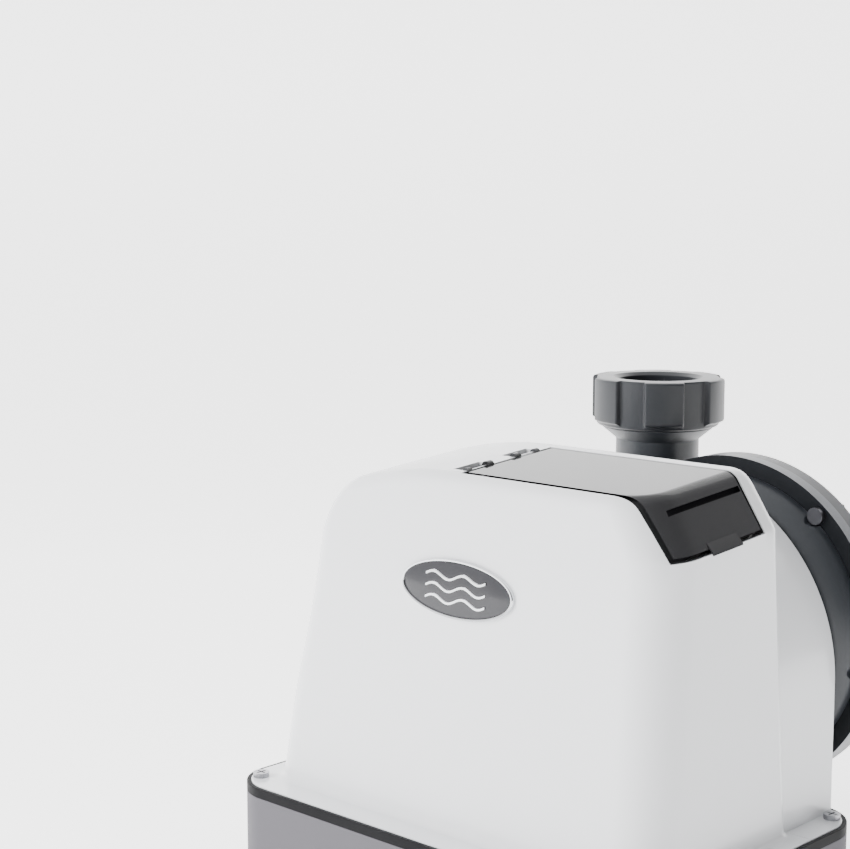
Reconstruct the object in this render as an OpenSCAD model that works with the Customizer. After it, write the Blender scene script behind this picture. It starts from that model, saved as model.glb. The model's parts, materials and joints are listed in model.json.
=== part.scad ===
// Salt chlorine generator: a moulded housing with a flip-up control cover, the power and
// control electronics inside it, and a motor-driven wet end that holds the electrode cell.
// Frame: X along the housing's long side, Y towards the wet end, Z up from the floor.
// The origin is the centre of the four bolt-down holes, on the floor.

/* [Base] */
// Length of the housing's flange
flange_l = 282; // [276:1:300]
// Width of the housing's flange
flange_w = 183; // [181:1:200]
// Height of the flange's underside above the floor
base_h = 60; // [56:1:70]
// Corner radius of the flange
flange_r = 24; // [20:1:30]
// Spacing of the bolt-down holes along the length
bolt_sx = 224; // [218:2:228]
// Spacing of the bolt-down holes across the width
bolt_sy = 120; // [110:2:130]

/* [Housing] */
// Height of the housing above its flange at the front edge of the roof
body_h = 184; // [180:1:190]
// Thickness of the moulded walls
wall = 3; // [2.5:0.1:3.5]
// Height above the flange where the control end starts to slope back
bevel_z = 155; // [150:1:160]
// How far the control end slopes back at the top
bevel_run = 17; // [14:1:20]
// Rise of the roof towards the wet end, in mm per mm
roof_tilt = 0.078; // [0.05:0.002:0.09]

/* [Cover] */
// Where the cover starts, along the roof
cover_x0 = -3; // [-4:0.5:0]
// Width of the cover
cover_w = 70; // [66:1:74]
// Thickness of the cover
cover_t = 2.6; // [2.2:0.1:2.8]

/* [Wet end] */
// Height of the motor's axis above the flange's underside
axis_h = 89; // [86:1:92]
// Distance of the motor's axis from the middle of the housing
motor_x = 49; // [46:1:52]
// Radius of the wet end's bolted rim
rim_r = 91; // [89:1:94]
// Inside radius of the outlet and of the cell chamber
cell_r = 21.5; // [21:0.5:22]
// Number of electrode plates
plates = 7; // [5:2:9]

/* [Hidden] */
$fn = 48;
eps = 0.01;
gap = 0.3;                       // clearance between pieces that move apart
rim_t = 2.5;                     // width of the seal's raised rim
foot_h = 5;
tray_floor = 4;
tray_top = base_h - 3;
bolt_r = 3.25;

// Outside of the housing's walls where they leave the flange, and how they lean
left_x = -131;
right_x = 129;
front_y = -73.5;
rear_y = 45;
left_lean = 0.14;
front_lean = 0.063;
rear_lean = 0.098;
left_round = 26;
front_round = 7;
rear_round = 9;
crease_round = 4;
corner_left = 18;
corner_right = 24;
corner_rear = 9;
corner_steps = 6;
roof_y = -57;                    // where the roof's height is body_h
roof_break = -9;                 // left of here the roof curves down
roof_fall = 0.0022;
tilt = atan(roof_tilt);

// Rear collar, an arch behind the main shell
arch_x0 = -112;
arch_x1 = 126;
arch_r = 100;
arch_h = 172;
collar_end = 88;
panel_t = 3;

// Housing screws
screw_x = 132;
screw_y = 79;
screw_head_r = 4.4;

// Control well under the cover, in the roof's own frame
deck_z = -15;
deck_t = 2.5;
well_y0 = 2;
well_y1 = cover_w - 2;
hinge_x = -4.5;
hinge_z = -1.2;
hinge_r = 2.4;
pin_r = 1.2;
hinge_at = [14, 51];
knuckle_w = 12;
lug_w = 3;
board_z = -30;
button_r = 6;
button_travel = 1.2;
button_at = [22, 44, 66, 88];
button_y = 18;

// Motor and wet end, measured along Y
motor_z = base_h + axis_h;
can_r = 55;
can_t = 2.5;
bearing_r = 16;
shaft_r = 6;
bell_t = 9;
can_y0 = -38;
can_y1 = 62;
plate_y = 112;                   // joint face between the seal plate and the casing
bolt_circle = rim_r - 6;
bolt_at = [10:60:310];           // angles of the casing's bolts
casing_y1 = 158;
chamber_r = 72;
impeller_r = 62;
outlet_x = motor_x - 86;
outlet_y = 153;
neck_r = cell_r + 3;
nut_z = base_h + 185;
nut_h = 28.5;
nut_r = 36;
lobe_h = 3.3;                    // height of the nuts' grip lobes
collar_r = 30.6;
collar_h = 18.5;                 // length of the outlet's collar inside its nut
suction_y1 = casing_y1 + 36;
suction_r = 20;
socket_r = 23;                   // sockets in both ports, inside their union nuts
socket_l = 18;
cap_z = base_h + 108;
sensor_z = base_h + 149;

function clamp01(u) = min(1, max(0, u));
function ease(u) = clamp01(u) * clamp01(u) * (3 - 2 * clamp01(u));
function roof_rise(x, y) =
  roof_tilt * (y - roof_y) - roof_fall * pow(max(0, roof_break - x), 2);
function arc_inset(z, h, r) = z <= h - r ? 0 : r - sqrt(max(0, r * r - pow(z - h + r, 2)));
function bevel_inset(z, t) =
  max(0, z - bevel_z + 0.27 * t) * bevel_run / (body_h - bevel_z);

// One level of the housing's walls, t inside the outer surface, shrunk to s of its size
function level(z, t, s) =
  let (h = body_h - t,
       x0 = left_x + left_lean * z + t + arc_inset(z, h, left_round - t),
       x1 = right_x - t - bevel_inset(z, t) - arc_inset(z, h, crease_round - t),
       y0 = front_y + front_lean * z + t + arc_inset(z, h, front_round - t),
       y1 = rear_y - rear_lean * z - t - arc_inset(z, h, rear_round - t),
       shrink = t + arc_inset(z, h, front_round - t),
       rl = max(4, corner_left - shrink), rr = max(4, corner_right - shrink),
       rb = max(2, corner_rear - shrink / 2),
       mid = [(x0 + x1) / 2, (y0 + y1) / 2],
       turns = [[x0 + rl, y0 + rl, rl, 180], [x1 - rr, y0 + rr, rr, 270],
                [x1 - rb, y1 - rb, rb, 0], [x0 + rb, y1 - rb, rb, 90]])
  [for (c = turns) for (k = [0:corner_steps])
    let (a = c[3] + 90 * k / corner_steps,
         p = mid + s * ([c[0] + c[2] * cos(a), c[1] + c[2] * sin(a)] - mid))
    [p[0], p[1], base_h + z + ease((z - 40) / 110) * roof_rise(p[0], p[1])]];

// The housing's outer form as a closed solid, t inside its true surface
module body_form(t, z0 = 0) {
  h = body_h - t;
  heights = concat([z0, 35, 70, 100, 130, 148, bevel_z],
    [for (a = [0:15:45]) h - (left_round - t) * (1 - sin(a))],
    [for (a = [0:18:90]) h - (front_round - t) * (1 - sin(a))]);
  shrinks = [0.7, 0.4, 0.12];
  rings = concat([for (z = heights) level(z, t, 1)], [for (s = shrinks) level(h, t, s)]);
  n = 4 * (corner_steps + 1);
  m = len(rings);
  sides = [for (r = [0:m - 2]) for (k = [0:n - 1])
    let (a = r * n + k, b = r * n + (k + 1) % n)
    each [[a, a + n, b], [b, a + n, b + n]]];
  polyhedron([for (r = rings) each r],
    concat(sides, [[for (k = [0:n - 1]) k]], [[for (k = [n - 1:-1:0]) (m - 1) * n + k]]));
}

module rounded(l, w, r) {
  for (sx = [-1, 1]) for (sy = [-1, 1])
    translate([sx * (l / 2 - r), sy * (w / 2 - r)]) circle(r);
  square([l - 2 * r, w], center = true);
  square([l, w - 2 * r], center = true);
}

// Arch outline of the collar, drawn in X and height above the flange
module arch(t) {
  difference() {
    union() {
      for (x = [arch_x0 + arch_r, arch_x1 - arch_r])
        translate([x, arch_h - arch_r]) circle(arch_r - t, $fn = 96);
      translate([arch_x0 + t, -t]) square([arch_x1 - arch_x0 - 2 * t, arch_h - arch_r + t]);
      translate([arch_x0 + arch_r, -t]) square([arch_x1 - arch_x0 - 2 * arch_r, arch_h]);
    }
    translate([-200, -t - 200]) square([400, 200]);
  }
}

// Extrudes a drawing in X and height along Y, from y0 to y1
module upright(y0, y1, z = base_h) {
  translate([0, y1, z]) rotate([90, 0, 0]) linear_extrude(y1 - y0) children();
}

// Children drawn along +Z lie along +Y on the motor's axis, from y
module on_axis(y) { translate([motor_x, y, motor_z]) rotate([-90, 0, 0]) children(); }

// Children sit on the tilted roof: X as in the housing, Y from the cover's front edge
module on_roof(x = 0, y = 0, z = 0) {
  translate([0, roof_y, base_h + body_h]) rotate([tilt, 0, 0]) translate([x, y, z]) children();
}

module ring(r_out, r_in, h) {
  difference() {
    cylinder(h = h, r = r_out);
    translate([0, 0, -1]) cylinder(h = h + 2, r = r_in);
  }
}

module at_screws() {
  for (sx = [-1, 1]) for (sy = [-1, 1]) translate([sx * screw_x, sy * screw_y, 0]) children();
}

module at_bolts() {
  for (sx = [-1, 1]) for (sy = [-1, 1])
    translate([sx * bolt_sx / 2, sy * bolt_sy / 2, 0]) children();
}

// ---- Base ----

module base_tray() {
  color("#524f56") difference() {
    union() {
      difference() {
        translate([0, 0, foot_h]) linear_extrude(tray_top - foot_h)
          rounded(flange_l + 2 * rim_t, flange_w + 2 * rim_t, flange_r + rim_t);
        translate([0, 0, foot_h + tray_floor]) linear_extrude(base_h)
          rounded(flange_l + 2 * rim_t - 2 * wall, flange_w + 2 * rim_t - 2 * wall,
                  flange_r + rim_t - wall);
      }
      at_screws() translate([0, 0, foot_h]) cylinder(h = tray_top - foot_h, r = 5.5);
      at_bolts() translate([0, 0, foot_h]) cylinder(h = 12, r = 9);
      for (x = [-100, -20]) for (y = [-50, 26])
        translate([x, y, foot_h]) cylinder(h = 15, r = 4);
    }
    at_screws() translate([0, 0, tray_top - 20]) cylinder(h = 30, r = 1.6);
    at_bolts() translate([0, 0, -1]) cylinder(h = 40, r = bolt_r);
  }
}

module rubber_feet() {
  color("#1c1c1e") at_bolts() ring(15, bolt_r, foot_h);
}

module rim_seal() {
  color("#141416") {
    difference() {
      translate([0, 0, tray_top]) linear_extrude(base_h + 2.2 - tray_top)
        rounded(flange_l + 2 * rim_t, flange_w + 2 * rim_t, flange_r + rim_t);
      translate([0, 0, base_h]) linear_extrude(10)
        rounded(flange_l + 0.4, flange_w + 0.4, flange_r + 0.2);
      translate([0, 0, tray_top - 1]) linear_extrude(10)
        rounded(flange_l - 8, flange_w - 8, flange_r - 4);
      at_screws() translate([0, 0, tray_top - 1]) cylinder(h = 10, r = 2);
    }
  }
}

// ---- Housing ----

module flange_plate() {
  translate([0, 0, base_h]) linear_extrude(wall - 0.5) rounded(flange_l, flange_w, flange_r);
}

// Region of the roof and control end that the cover takes up, grown by g
module cover_region(g) {
  on_roof(cover_x0 - g, -g, bevel_z - body_h - g) cube([200, cover_w + 2 * g, 80]);
}

module hinge_notches(g) {
  for (y = hinge_at)
    on_roof(hinge_x - 8, y - knuckle_w / 2 - lug_w - 0.6 - g, -10)
      cube([14, knuckle_w + 2 * lug_w + 1.2 + 2 * g, 20]);
}

module oval(w, h) {
  polygon([for (a = [0:5:355]) [w / 2 * cos(a), h / 2 * sin(a)]]);
}

badge_x = 2.5;
badge_z = base_h + 126.5;
badge_w = 75;
badge_h = 30;
badge_lean = atan(front_lean);
badge_y = front_y + front_lean * (badge_z - base_h);

module on_badge(z) {
  translate([badge_x, badge_y, badge_z]) rotate([90 - badge_lean, 0, 0])
    translate([0, 0, z]) children();
}

module housing_shell() {
  color("#e8e9eb") difference() {
    union() {
      body_form(0);
      intersection() {
        flange_plate();
        translate([-200, -200, 0]) cube([400, 200 + rear_y, 200]);
      }
    }
    body_form(wall, -1);
    on_badge(-0.6) linear_extrude(10) oval(badge_w + 0.1, badge_h + 0.1);
    cover_region(0);
    hinge_notches(0);
    upright(0, rear_y + 20) arch(wall);
    at_screws() translate([0, 0, base_h - 1]) cylinder(h = 10, r = 2.2);
    at_screws() translate([0, 0, base_h + wall - 0.5]) cylinder(h = 10, r = screw_head_r + 0.6);
  }
}

module rear_collar() {
  color("#e8e9eb") difference() {
    union() {
      upright(rear_y - 36, collar_end) difference() {
        arch(0);
        arch(wall);
      }
      difference() {
        intersection() {
          flange_plate();
          translate([-200, rear_y + 0.2, 0]) cube([400, 200, 200]);
        }
        translate([arch_x0 + wall, 0, 0])
          cube([arch_x1 - arch_x0 - 2 * wall, collar_end - panel_t - 1, 200]);
      }
    }
    body_form(-0.2, -1);
    // Front edge follows the main shell's leaning back wall
    translate([-200, rear_y - 107, base_h + wall]) rotate([atan(rear_lean), 0, 0])
      cube([400, 100, 300]);
    translate([-200, rear_y - 100, 0]) cube([400, 100.2, base_h + wall - 0.3]);
    at_screws() translate([0, 0, base_h - 1]) cylinder(h = 10, r = 2.2);
    at_screws() translate([0, 0, base_h + wall - 0.5]) cylinder(h = 12, r = screw_head_r + 0.6);
  }
}

gland_x = -93;
gland_z = base_h + 40;

module rear_panel() {
  color("#dfe0e3") difference() {
    upright(collar_end - panel_t - 1, collar_end - 1) difference() {
      arch(wall + 0.1);
      translate([-200, -10]) square([400, 10 + wall]);
    }
    on_axis(collar_end - 10) cylinder(h = 20, r = 60);
    for (k = [0:6]) translate([-104 + 9 * k, collar_end - 10, base_h + 74]) cube([4, 20, 46]);
    translate([gland_x, collar_end - 10, gland_z]) rotate([-90, 0, 0]) cylinder(h = 20, r = 7);
    translate([-46, collar_end - 10, base_h + 30]) rotate([-90, 0, 0]) cylinder(h = 20, r = 4);
  }
}

module housing_screws() {
  color("#9a9ca0") at_screws() difference() {
    union() {
      translate([0, 0, base_h + wall - 0.5]) cylinder(h = 2.6, r = screw_head_r);
      translate([0, 0, base_h - 17]) cylinder(h = 20, r = 1.6);
    }
    for (a = [0, 90]) rotate([0, 0, a]) translate([-3, -0.5, base_h + wall + 0.9])
      cube([6, 1, 4]);
  }
}

module badge() {
  color("#262628") on_badge(-0.6) linear_extrude(2) oval(badge_w - 3, badge_h - 3);
}

module wave(y, amp, w) {
  steps = 16;
  top = [for (k = [0:steps]) [w * (k / steps - 0.5), y + amp * sin(720 * k / steps) + 0.9]];
  low = [for (k = [steps:-1:0]) [w * (k / steps - 0.5), y + amp * sin(720 * k / steps) - 0.9]];
  polygon(concat(top, low));
}

module badge_trim() {
  color("#d8d9dc") {
    on_badge(-0.6) linear_extrude(2.6) difference() {
      oval(badge_w, badge_h);
      oval(badge_w - 3, badge_h - 3);
    }
    for (k = [-1:1]) on_badge(1.4) linear_extrude(0.6) wave(6 * k, 1.6, 40);
  }
}

// ---- Cover and control panel ----

module flip_cover() {
  color("#303032") difference() {
    union() {
      intersection() {
        difference() {
          body_form(0);
          body_form(cover_t);
        }
        cover_region(-0.6);
      }
      for (y = hinge_at) {
        on_roof(hinge_x, y - knuckle_w / 2, hinge_z) rotate([-90, 0, 0])
          cylinder(h = knuckle_w, r = hinge_r);
        on_roof(hinge_x, y - knuckle_w / 2, -hinge_r) cube([6, knuckle_w, hinge_r]);
      }
    }
    for (y = hinge_at) {
      on_roof(hinge_x, y - knuckle_w, hinge_z) rotate([-90, 0, 0])
        cylinder(h = 2 * knuckle_w, r = pin_r + 0.05);
      for (s = [-1, 1])
        on_roof(hinge_x, y + s * (knuckle_w + lug_w + 2 * gap) / 2 - lug_w / 2 - gap, hinge_z)
          rotate([-90, 0, 0]) cylinder(h = lug_w + 2 * gap, r = hinge_r + 2 * gap);
    }
  }
}

module cover_hinge_pins() {
  color("#b9bbbe") for (y = hinge_at)
    on_roof(hinge_x, y - knuckle_w / 2 - lug_w - gap, hinge_z) rotate([-90, 0, 0])
      cylinder(h = knuckle_w + 2 * lug_w + 2 * gap, r = pin_r);
}

// Profile of the control well along X, in the roof's frame: its floor lies d below the
// cover's line, and follows it down the sloping end
module well_profile(d, x0, x1, top) {
  drop = body_h - bevel_z;
  slope = bevel_run / drop;
  crease = right_x - bevel_run;
  polygon([[x0, top], [x1, top], [x1, -drop], [right_x - 1.16 * d, -drop],
           [crease - 0.55 * d, -d], [x0, -d]]);
}

module across_roof(y0, y1) {
  on_roof(0, y1, 0) rotate([90, 0, 0]) linear_extrude(y1 - y0) children();
}

module control_panel() {
  rim = cover_t + 0.6;
  drop = body_h - bevel_z;
  color("#3a3b3f") difference() {
    union() {
      // Side walls and floor, under the cover's line
      intersection() {
        across_roof(0.2, cover_w - 0.2)
          polygon([[cover_x0 + 0.2, -rim], [right_x - bevel_run - 0.55 * rim, -rim],
                   [right_x - 1.16 * rim, -drop], [right_x - 1.16 * rim, -drop - deck_t],
                   [right_x + 1.16 * deck_z - deck_t, -drop - deck_t],
                   [right_x - bevel_run + 0.55 * deck_z - deck_t, deck_z - deck_t],
                   [cover_x0 + 0.2, deck_z - deck_t]]);
        body_form(rim);
      }
      for (y = hinge_at) for (s = [-1, 1])
        on_roof(hinge_x, y + s * (knuckle_w + lug_w + 2 * gap) / 2 - lug_w / 2, 0) {
          translate([0, 0, hinge_z]) rotate([-90, 0, 0]) cylinder(h = lug_w, r = hinge_r);
          translate([-hinge_r, 0, deck_z - deck_t]) cube([hinge_r + 4, lug_w, deck_t - deck_z - 6.8]);
          translate([-hinge_r, 0, -6.9]) cube([hinge_r + 1.4, lug_w, 6.4]);
        }
      for (x = [12, 94]) for (y = [8, cover_w - 8])
        on_roof(x, y, board_z) cylinder(h = deck_z - board_z - 1, r = 3);
    }
    across_roof(1.7, cover_w - 1.7) well_profile(-deck_z, cover_x0 + 1.7, right_x + 20, 20);
    for (y = hinge_at) on_roof(hinge_x, y - 20, hinge_z) rotate([-90, 0, 0])
      cylinder(h = 40, r = pin_r);
    for (x = button_at) on_roof(x, button_y, deck_z - 10) cylinder(h = 20, r = button_r + gap);
    on_roof(36, 38, deck_z - 10) cube([36, 16, 20]);
    for (k = [0:4]) on_roof(84, 34 + 6 * k, deck_z - 10) cylinder(h = 20, r = 1.6);
  }
}

module display_lens() {
  color("#1a1420") on_roof(36.2, 38.2, deck_z - deck_t + 1) cube([35.6, 15.6, 2.2]);
}

module display_module() {
  color("#c9c9c4") on_roof(38, 39.5, board_z + 1.6) cube([32, 13, 10.6]);
}

module button(x) {
  stem = deck_z - board_z - 1.6 - 5;
  on_roof(x, button_y, deck_z) {
    translate([0, 0, -deck_t - 1.4]) cylinder(h = deck_t + 3.2, r = button_r);
    translate([0, 0, -deck_t - gap - 1.4]) cylinder(h = 1.4, r = button_r + 1.6);
    translate([0, 0, -stem + button_travel + 0.3]) cylinder(h = stem - 4, r = 2.2);
  }
}

module power_button() { color("#7a2c2a") button(button_at[0]); }
module timer_button() { color("#c9cacc") button(button_at[1]); }
module boost_button() { color("#c9cacc") button(button_at[2]); }
module lock_button() { color("#c9cacc") button(button_at[3]); }

module status_leds() {
  color("#63c46a") for (k = [0:4]) on_roof(84, 34 + 6 * k, board_z + 1.6) {
    cylinder(h = deck_z - board_z - 1.6, r = 1.5);
    translate([0, 0, deck_z - board_z - 1.6]) sphere(r = 1.5);
  }
}

module control_board() {
  color("#1f5a3a") difference() {
    on_roof(6, 3, board_z) cube([94, cover_w - 6, 1.6]);
    for (x = [12, 94]) for (y = [8, cover_w - 8])
      on_roof(x, y, board_z - 5) cylinder(h = 20, r = 3.1);
  }
}

module tact_switches() {
  color("#26262a") for (x = button_at) on_roof(x, button_y, board_z + 1.6) {
    translate([-3, -3, 0]) cube([6, 6, 3.4]);
    cylinder(h = 5, r = 1.7);
  }
}

// ---- Power electronics on the tray's floor ----

board2_z = foot_h + 15;

module power_board() {
  color("#2b6a45") translate([-106, -56, board2_z]) cube([92, 88, 1.6]);
}

module transformer_core() {
  color("#6b6d70") translate([-98, -44, board2_z + 1.6]) difference() {
    cube([50, 26, 44]);
    for (x = [9, 29]) translate([x, -1, 9]) cube([12, 28, 26]);
  }
}

module transformer_coil() {
  color("#b5652b") translate([-73, -31, board2_z + 1.6 + 22]) difference() {
    cube([23.4, 40, 25.4], center = true);
    cube([8.2, 26.4, 60], center = true);
    for (s = [-1, 1]) translate([s * 20, 0, 0]) cube([16.8, 60, 60], center = true);
  }
}

module filter_capacitors() {
  color("#24324a") for (k = [0:2]) translate([-30, -40 + 22 * k, board2_z + 1.6]) {
    cylinder(h = 34, r = 9);
    translate([0, 0, 34]) cylinder(h = 1, r = 8);
  }
}

module relays() {
  color("#2d5fa0") for (k = [0:1]) translate([-96 + 24 * k, 9, board2_z + 1.6]) cube([18, 20, 16]);
}

module heat_sink() {
  color("#b4b6ba") translate([-104, -6, board2_z + 1.6]) {
    cube([60, 4, 36]);
    for (k = [0:9]) translate([6 * k, 4 - eps, 0]) cube([2, 8, 36]);
  }
}

module panel_ribbon() {
  low = board2_z + 1.6;
  bend = motor_z + can_r + 1;
  top = base_h + body_h + board_z + 2;
  t = 1.2;
  color("#8f9298") translate([-18, -20, 0]) {
    translate([0, 0, low]) cube([t, 20, bend - low]);
    translate([0, 0, bend - t]) cube([30, 20, t]);
    translate([30 - t, 0, bend - t]) cube([t, 20, top - bend]);
  }
}

// Round cable: straight runs between points with a slightly larger ball at each corner
module run(p, q, r) {
  d = q - p;
  translate(p) rotate([0, atan2(norm([d[0], d[1]]), d[2]), atan2(d[1], d[0])])
    cylinder(h = norm(d), r = r);
  translate(q) sphere(r = r + 0.2);
}

cap_x = outlet_x - neck_r - 18;

module cell_leads() {
  points = [[-46, 34, board2_z + 12], [-46, 60, base_h + 30], [-46, 104, base_h + 30],
            [-70, 124, base_h + 36], [cap_x, outlet_y, base_h + 62],
            [cap_x, outlet_y, cap_z - 8]];
  color("#161618") for (k = [0:len(points) - 2]) run(points[k], points[k + 1], 3);
}

module cord_gland() {
  color("#1f2023") translate([gland_x, 0, gland_z]) rotate([-90, 0, 0]) difference() {
    union() {
      translate([0, 0, collar_end - 20]) cylinder(h = 34, r = 6.9);
      translate([0, 0, collar_end - 1]) cylinder(h = 6, r = 11, $fn = 6);
      translate([0, 0, collar_end + 5]) cylinder(h = 8, r = 9);
      translate([0, 0, collar_end - panel_t - 7]) cylinder(h = 6, r = 11, $fn = 6);
    }
    translate([0, 0, collar_end - 30]) cylinder(h = 60, r = 4);
  }
}

// ---- Motor ----

module motor_can() {
  color("#3f4247") difference() {
    on_axis(can_y0) ring(can_r, can_r - can_t, can_y1 - can_y0);
    translate([motor_x + 30, 0, motor_z]) rotate([0, 90, 0]) cylinder(h = 40, r = 5);
  }
}

module stator_core() {
  color("#7d8085") on_axis(can_y0 + 16) difference() {
    ring(can_r - can_t, 29.6, can_y1 - can_y0 - 36);
    for (a = [0:30:330]) rotate([0, 0, a]) translate([37, 0, -1]) cylinder(h = 90, r = 4.4);
  }
}

module stator_windings() {
  color("#b3672a") {
    for (y = [can_y0 + 4, can_y1 - 20]) on_axis(y) ring(46, 31.5, 12 - eps);
    for (a = [0:30:330]) on_axis(can_y0 + 15.9) rotate([0, 0, a]) translate([37, 0, 0])
      cylinder(h = can_y1 - can_y0 - 35.8, r = 4.2);
  }
}

module drive_end_bell() {
  color("#585b60") on_axis(can_y1) ring(can_r, bearing_r, bell_t);
}

module fan_end_bell() {
  color("#585b60") on_axis(can_y0 - bell_t) difference() {
    ring(can_r, bearing_r, bell_t);
    for (a = [0:45:315]) rotate([0, 0, a]) translate([36, 0, -1]) cylinder(h = 20, r = 6);
  }
}

module motor_bearings() {
  color("#c4c6ca") for (y = [can_y0 - bell_t, can_y1]) on_axis(y) difference() {
    ring(bearing_r, shaft_r + 0.05, bell_t);
    for (z = [-1, bell_t - 0.8]) translate([0, 0, z]) ring(13, 9, 1.8);
  }
}

module rotor_core() {
  color("#8a8d92") on_axis(can_y0 + 14) ring(29, shaft_r, can_y1 - can_y0 - 32);
}

module motor_shaft() {
  length = plate_y + 22 + 57;
  color("#c8cacd") on_axis(-57) {
    cylinder(h = length, r = shaft_r);
    translate([0, 0, length]) cylinder(h = 2, r1 = shaft_r, r2 = shaft_r - 1.5);
  }
}

module cooling_fan() {
  color("#2c2d30") on_axis(-57) difference() {
    union() {
      cylinder(h = 8, r = 13);
      for (a = [0:45:315]) rotate([0, 0, a]) translate([10, 0, 4]) rotate([28, 0, 0])
        translate([0, -1.1, -3.6]) cube([34, 2.2, 8]);
    }
    translate([0, 0, -1]) cylinder(h = 20, r = shaft_r);
  }
}

module fan_cowl() {
  color("#35373b") on_axis(can_y0 - 22) difference() {
    cylinder(h = 13, r = 54);
    translate([0, 0, 2]) cylinder(h = 20, r = 51.5);
    for (a = [0:30:330]) rotate([0, 0, a]) translate([18, -2.5, -1]) cube([26, 5, 10]);
  }
}

cradle_y0 = -16;
cradle_y1 = 44;
strap_y = 8;
strap_w = 14;

module motor_cradle() {
  color("#46484d") difference() {
    union() {
      translate([motor_x - 40, cradle_y0, foot_h + tray_floor]) cube([80, cradle_y1 - cradle_y0, 5]);
      for (y = [cradle_y0, cradle_y1 - 8])
        translate([motor_x - 32, y, foot_h + tray_floor]) cube([64, 8, 110]);
      translate([motor_x - 62, strap_y, foot_h + tray_floor]) cube([124, strap_w, 5]);
      for (s = [-1, 1]) translate([motor_x + 59.5 * s - 2.7, strap_y, foot_h + tray_floor])
        cube([5.4, strap_w, motor_z - 1 - foot_h - tray_floor]);
      translate([motor_x - 32, cradle_y0, motor_z - can_r - 5])
        cube([64, cradle_y1 - cradle_y0, 6]);
    }
    on_axis(cradle_y0 - 10) cylinder(h = 100, r = can_r + 0.1);
    for (y = [cradle_y0, cradle_y1 - 8]) translate([motor_x, y + 20, foot_h + 44])
      rotate([90, 0, 0]) cylinder(h = 40, r = 20);
    for (sx = [-1, 1]) for (y = [cradle_y0 + 16, cradle_y1 - 16])
      translate([motor_x + 34 * sx, y, 0]) cylinder(h = 40, r = 2.6);
    for (s = [-1, 1]) translate([motor_x + 59.5 * s, strap_y + strap_w / 2, motor_z - 20])
      cylinder(h = 40, r = 1.5);
  }
}

module motor_strap() {
  color("#a9abaf") difference() {
    union() {
      on_axis(strap_y) ring(can_r + 1.7, can_r + 0.1, strap_w);
      for (s = [-1, 1]) translate([motor_x + s * (can_r + 5) - 5, strap_y, motor_z - 1])
        cube([10, strap_w, 2]);
    }
    on_axis(0) cylinder(h = 40, r = can_r + 0.1);
    for (s = [-1, 1]) translate([motor_x + 59.5 * s, strap_y + strap_w / 2, motor_z - 20])
      cylinder(h = 40, r = 1.5);
    translate([motor_x - 80, 0, motor_z - 81]) cube([160, 40, 80]);
  }
}

module motor_bolts() {
  color("#8f9195") for (sx = [-1, 1]) for (y = [cradle_y0 + 16, cradle_y1 - 16])
    translate([motor_x + 34 * sx, y, foot_h + tray_floor]) {
      cylinder(h = 5, r = 2.5);
      translate([0, 0, 5]) cylinder(h = 3.4, r = 4.6, $fn = 6);
    }
  color("#8f9195") for (s = [-1, 1])
    translate([motor_x + 59.5 * s, strap_y + strap_w / 2, motor_z - 15]) {
      cylinder(h = 16, r = 1.45);
      translate([0, 0, 16]) cylinder(h = 2, r = 2.8);
    }
}

// ---- Wet end ----

module seal_plate() {
  color("#373a3f") on_axis(0) difference() {
    rotate_extrude($fn = 96) polygon(concat(
      [[shaft_r + 3, can_y1 + bell_t], [56, can_y1 + bell_t], [56, collar_end + 1]],
      [for (a = [0:9:90]) [60 + 22 * sin(a), collar_end + 1 + 15 * (1 - cos(a))]],
      [[rim_r, plate_y - 8], [rim_r, plate_y], [shaft_r + 3, plate_y]]));
    translate([0, 0, can_y1 + bell_t - 1]) rotate_extrude() polygon(
      [[18, 0], [50, 0], [50, 14], [54, 24], [66, 32], [66, 36], [18, 36]]);
    translate([0, 0, plate_y - 12]) cylinder(h = 20, r = 14);
    translate([0, 0, plate_y - 4]) ring(chamber_r + 8, chamber_r + 4, 10);
    for (a = bolt_at) rotate([0, 0, a]) translate([bolt_circle, 0, plate_y - 20])
      cylinder(h = 40, r = 2.6);
    for (a = bolt_at) rotate([0, 0, a]) translate([bolt_circle, 0, plate_y - 26])
      cylinder(h = 18, r = 5.4);
  }
}

module shaft_seal() {
  color("#8c8f94") on_axis(plate_y - 12) {
    ring(14, shaft_r + 0.4, 8);
    translate([0, 0, 8]) ring(11, shaft_r + 0.4, 2.6);
  }
}

// A curved vane that starts clear of the hub and ends inside the disc's rim
module impeller_vane() {
  intersection() {
    translate([4, -22]) difference() {
      circle(40);
      circle(37.4);
    }
    translate([3, -4]) square([60, 60]);
  }
}

module impeller() {
  color("#cfd1d3") on_axis(plate_y + 4) difference() {
    union() {
      cylinder(h = 3, r = impeller_r);
      cylinder(h = 18, r = 12);
      for (a = [0:60:300]) rotate([0, 0, a]) translate([0, 0, 2]) linear_extrude(13)
        impeller_vane();
    }
    translate([0, 0, -1]) cylinder(h = 30, r = shaft_r);
  }
}

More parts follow.
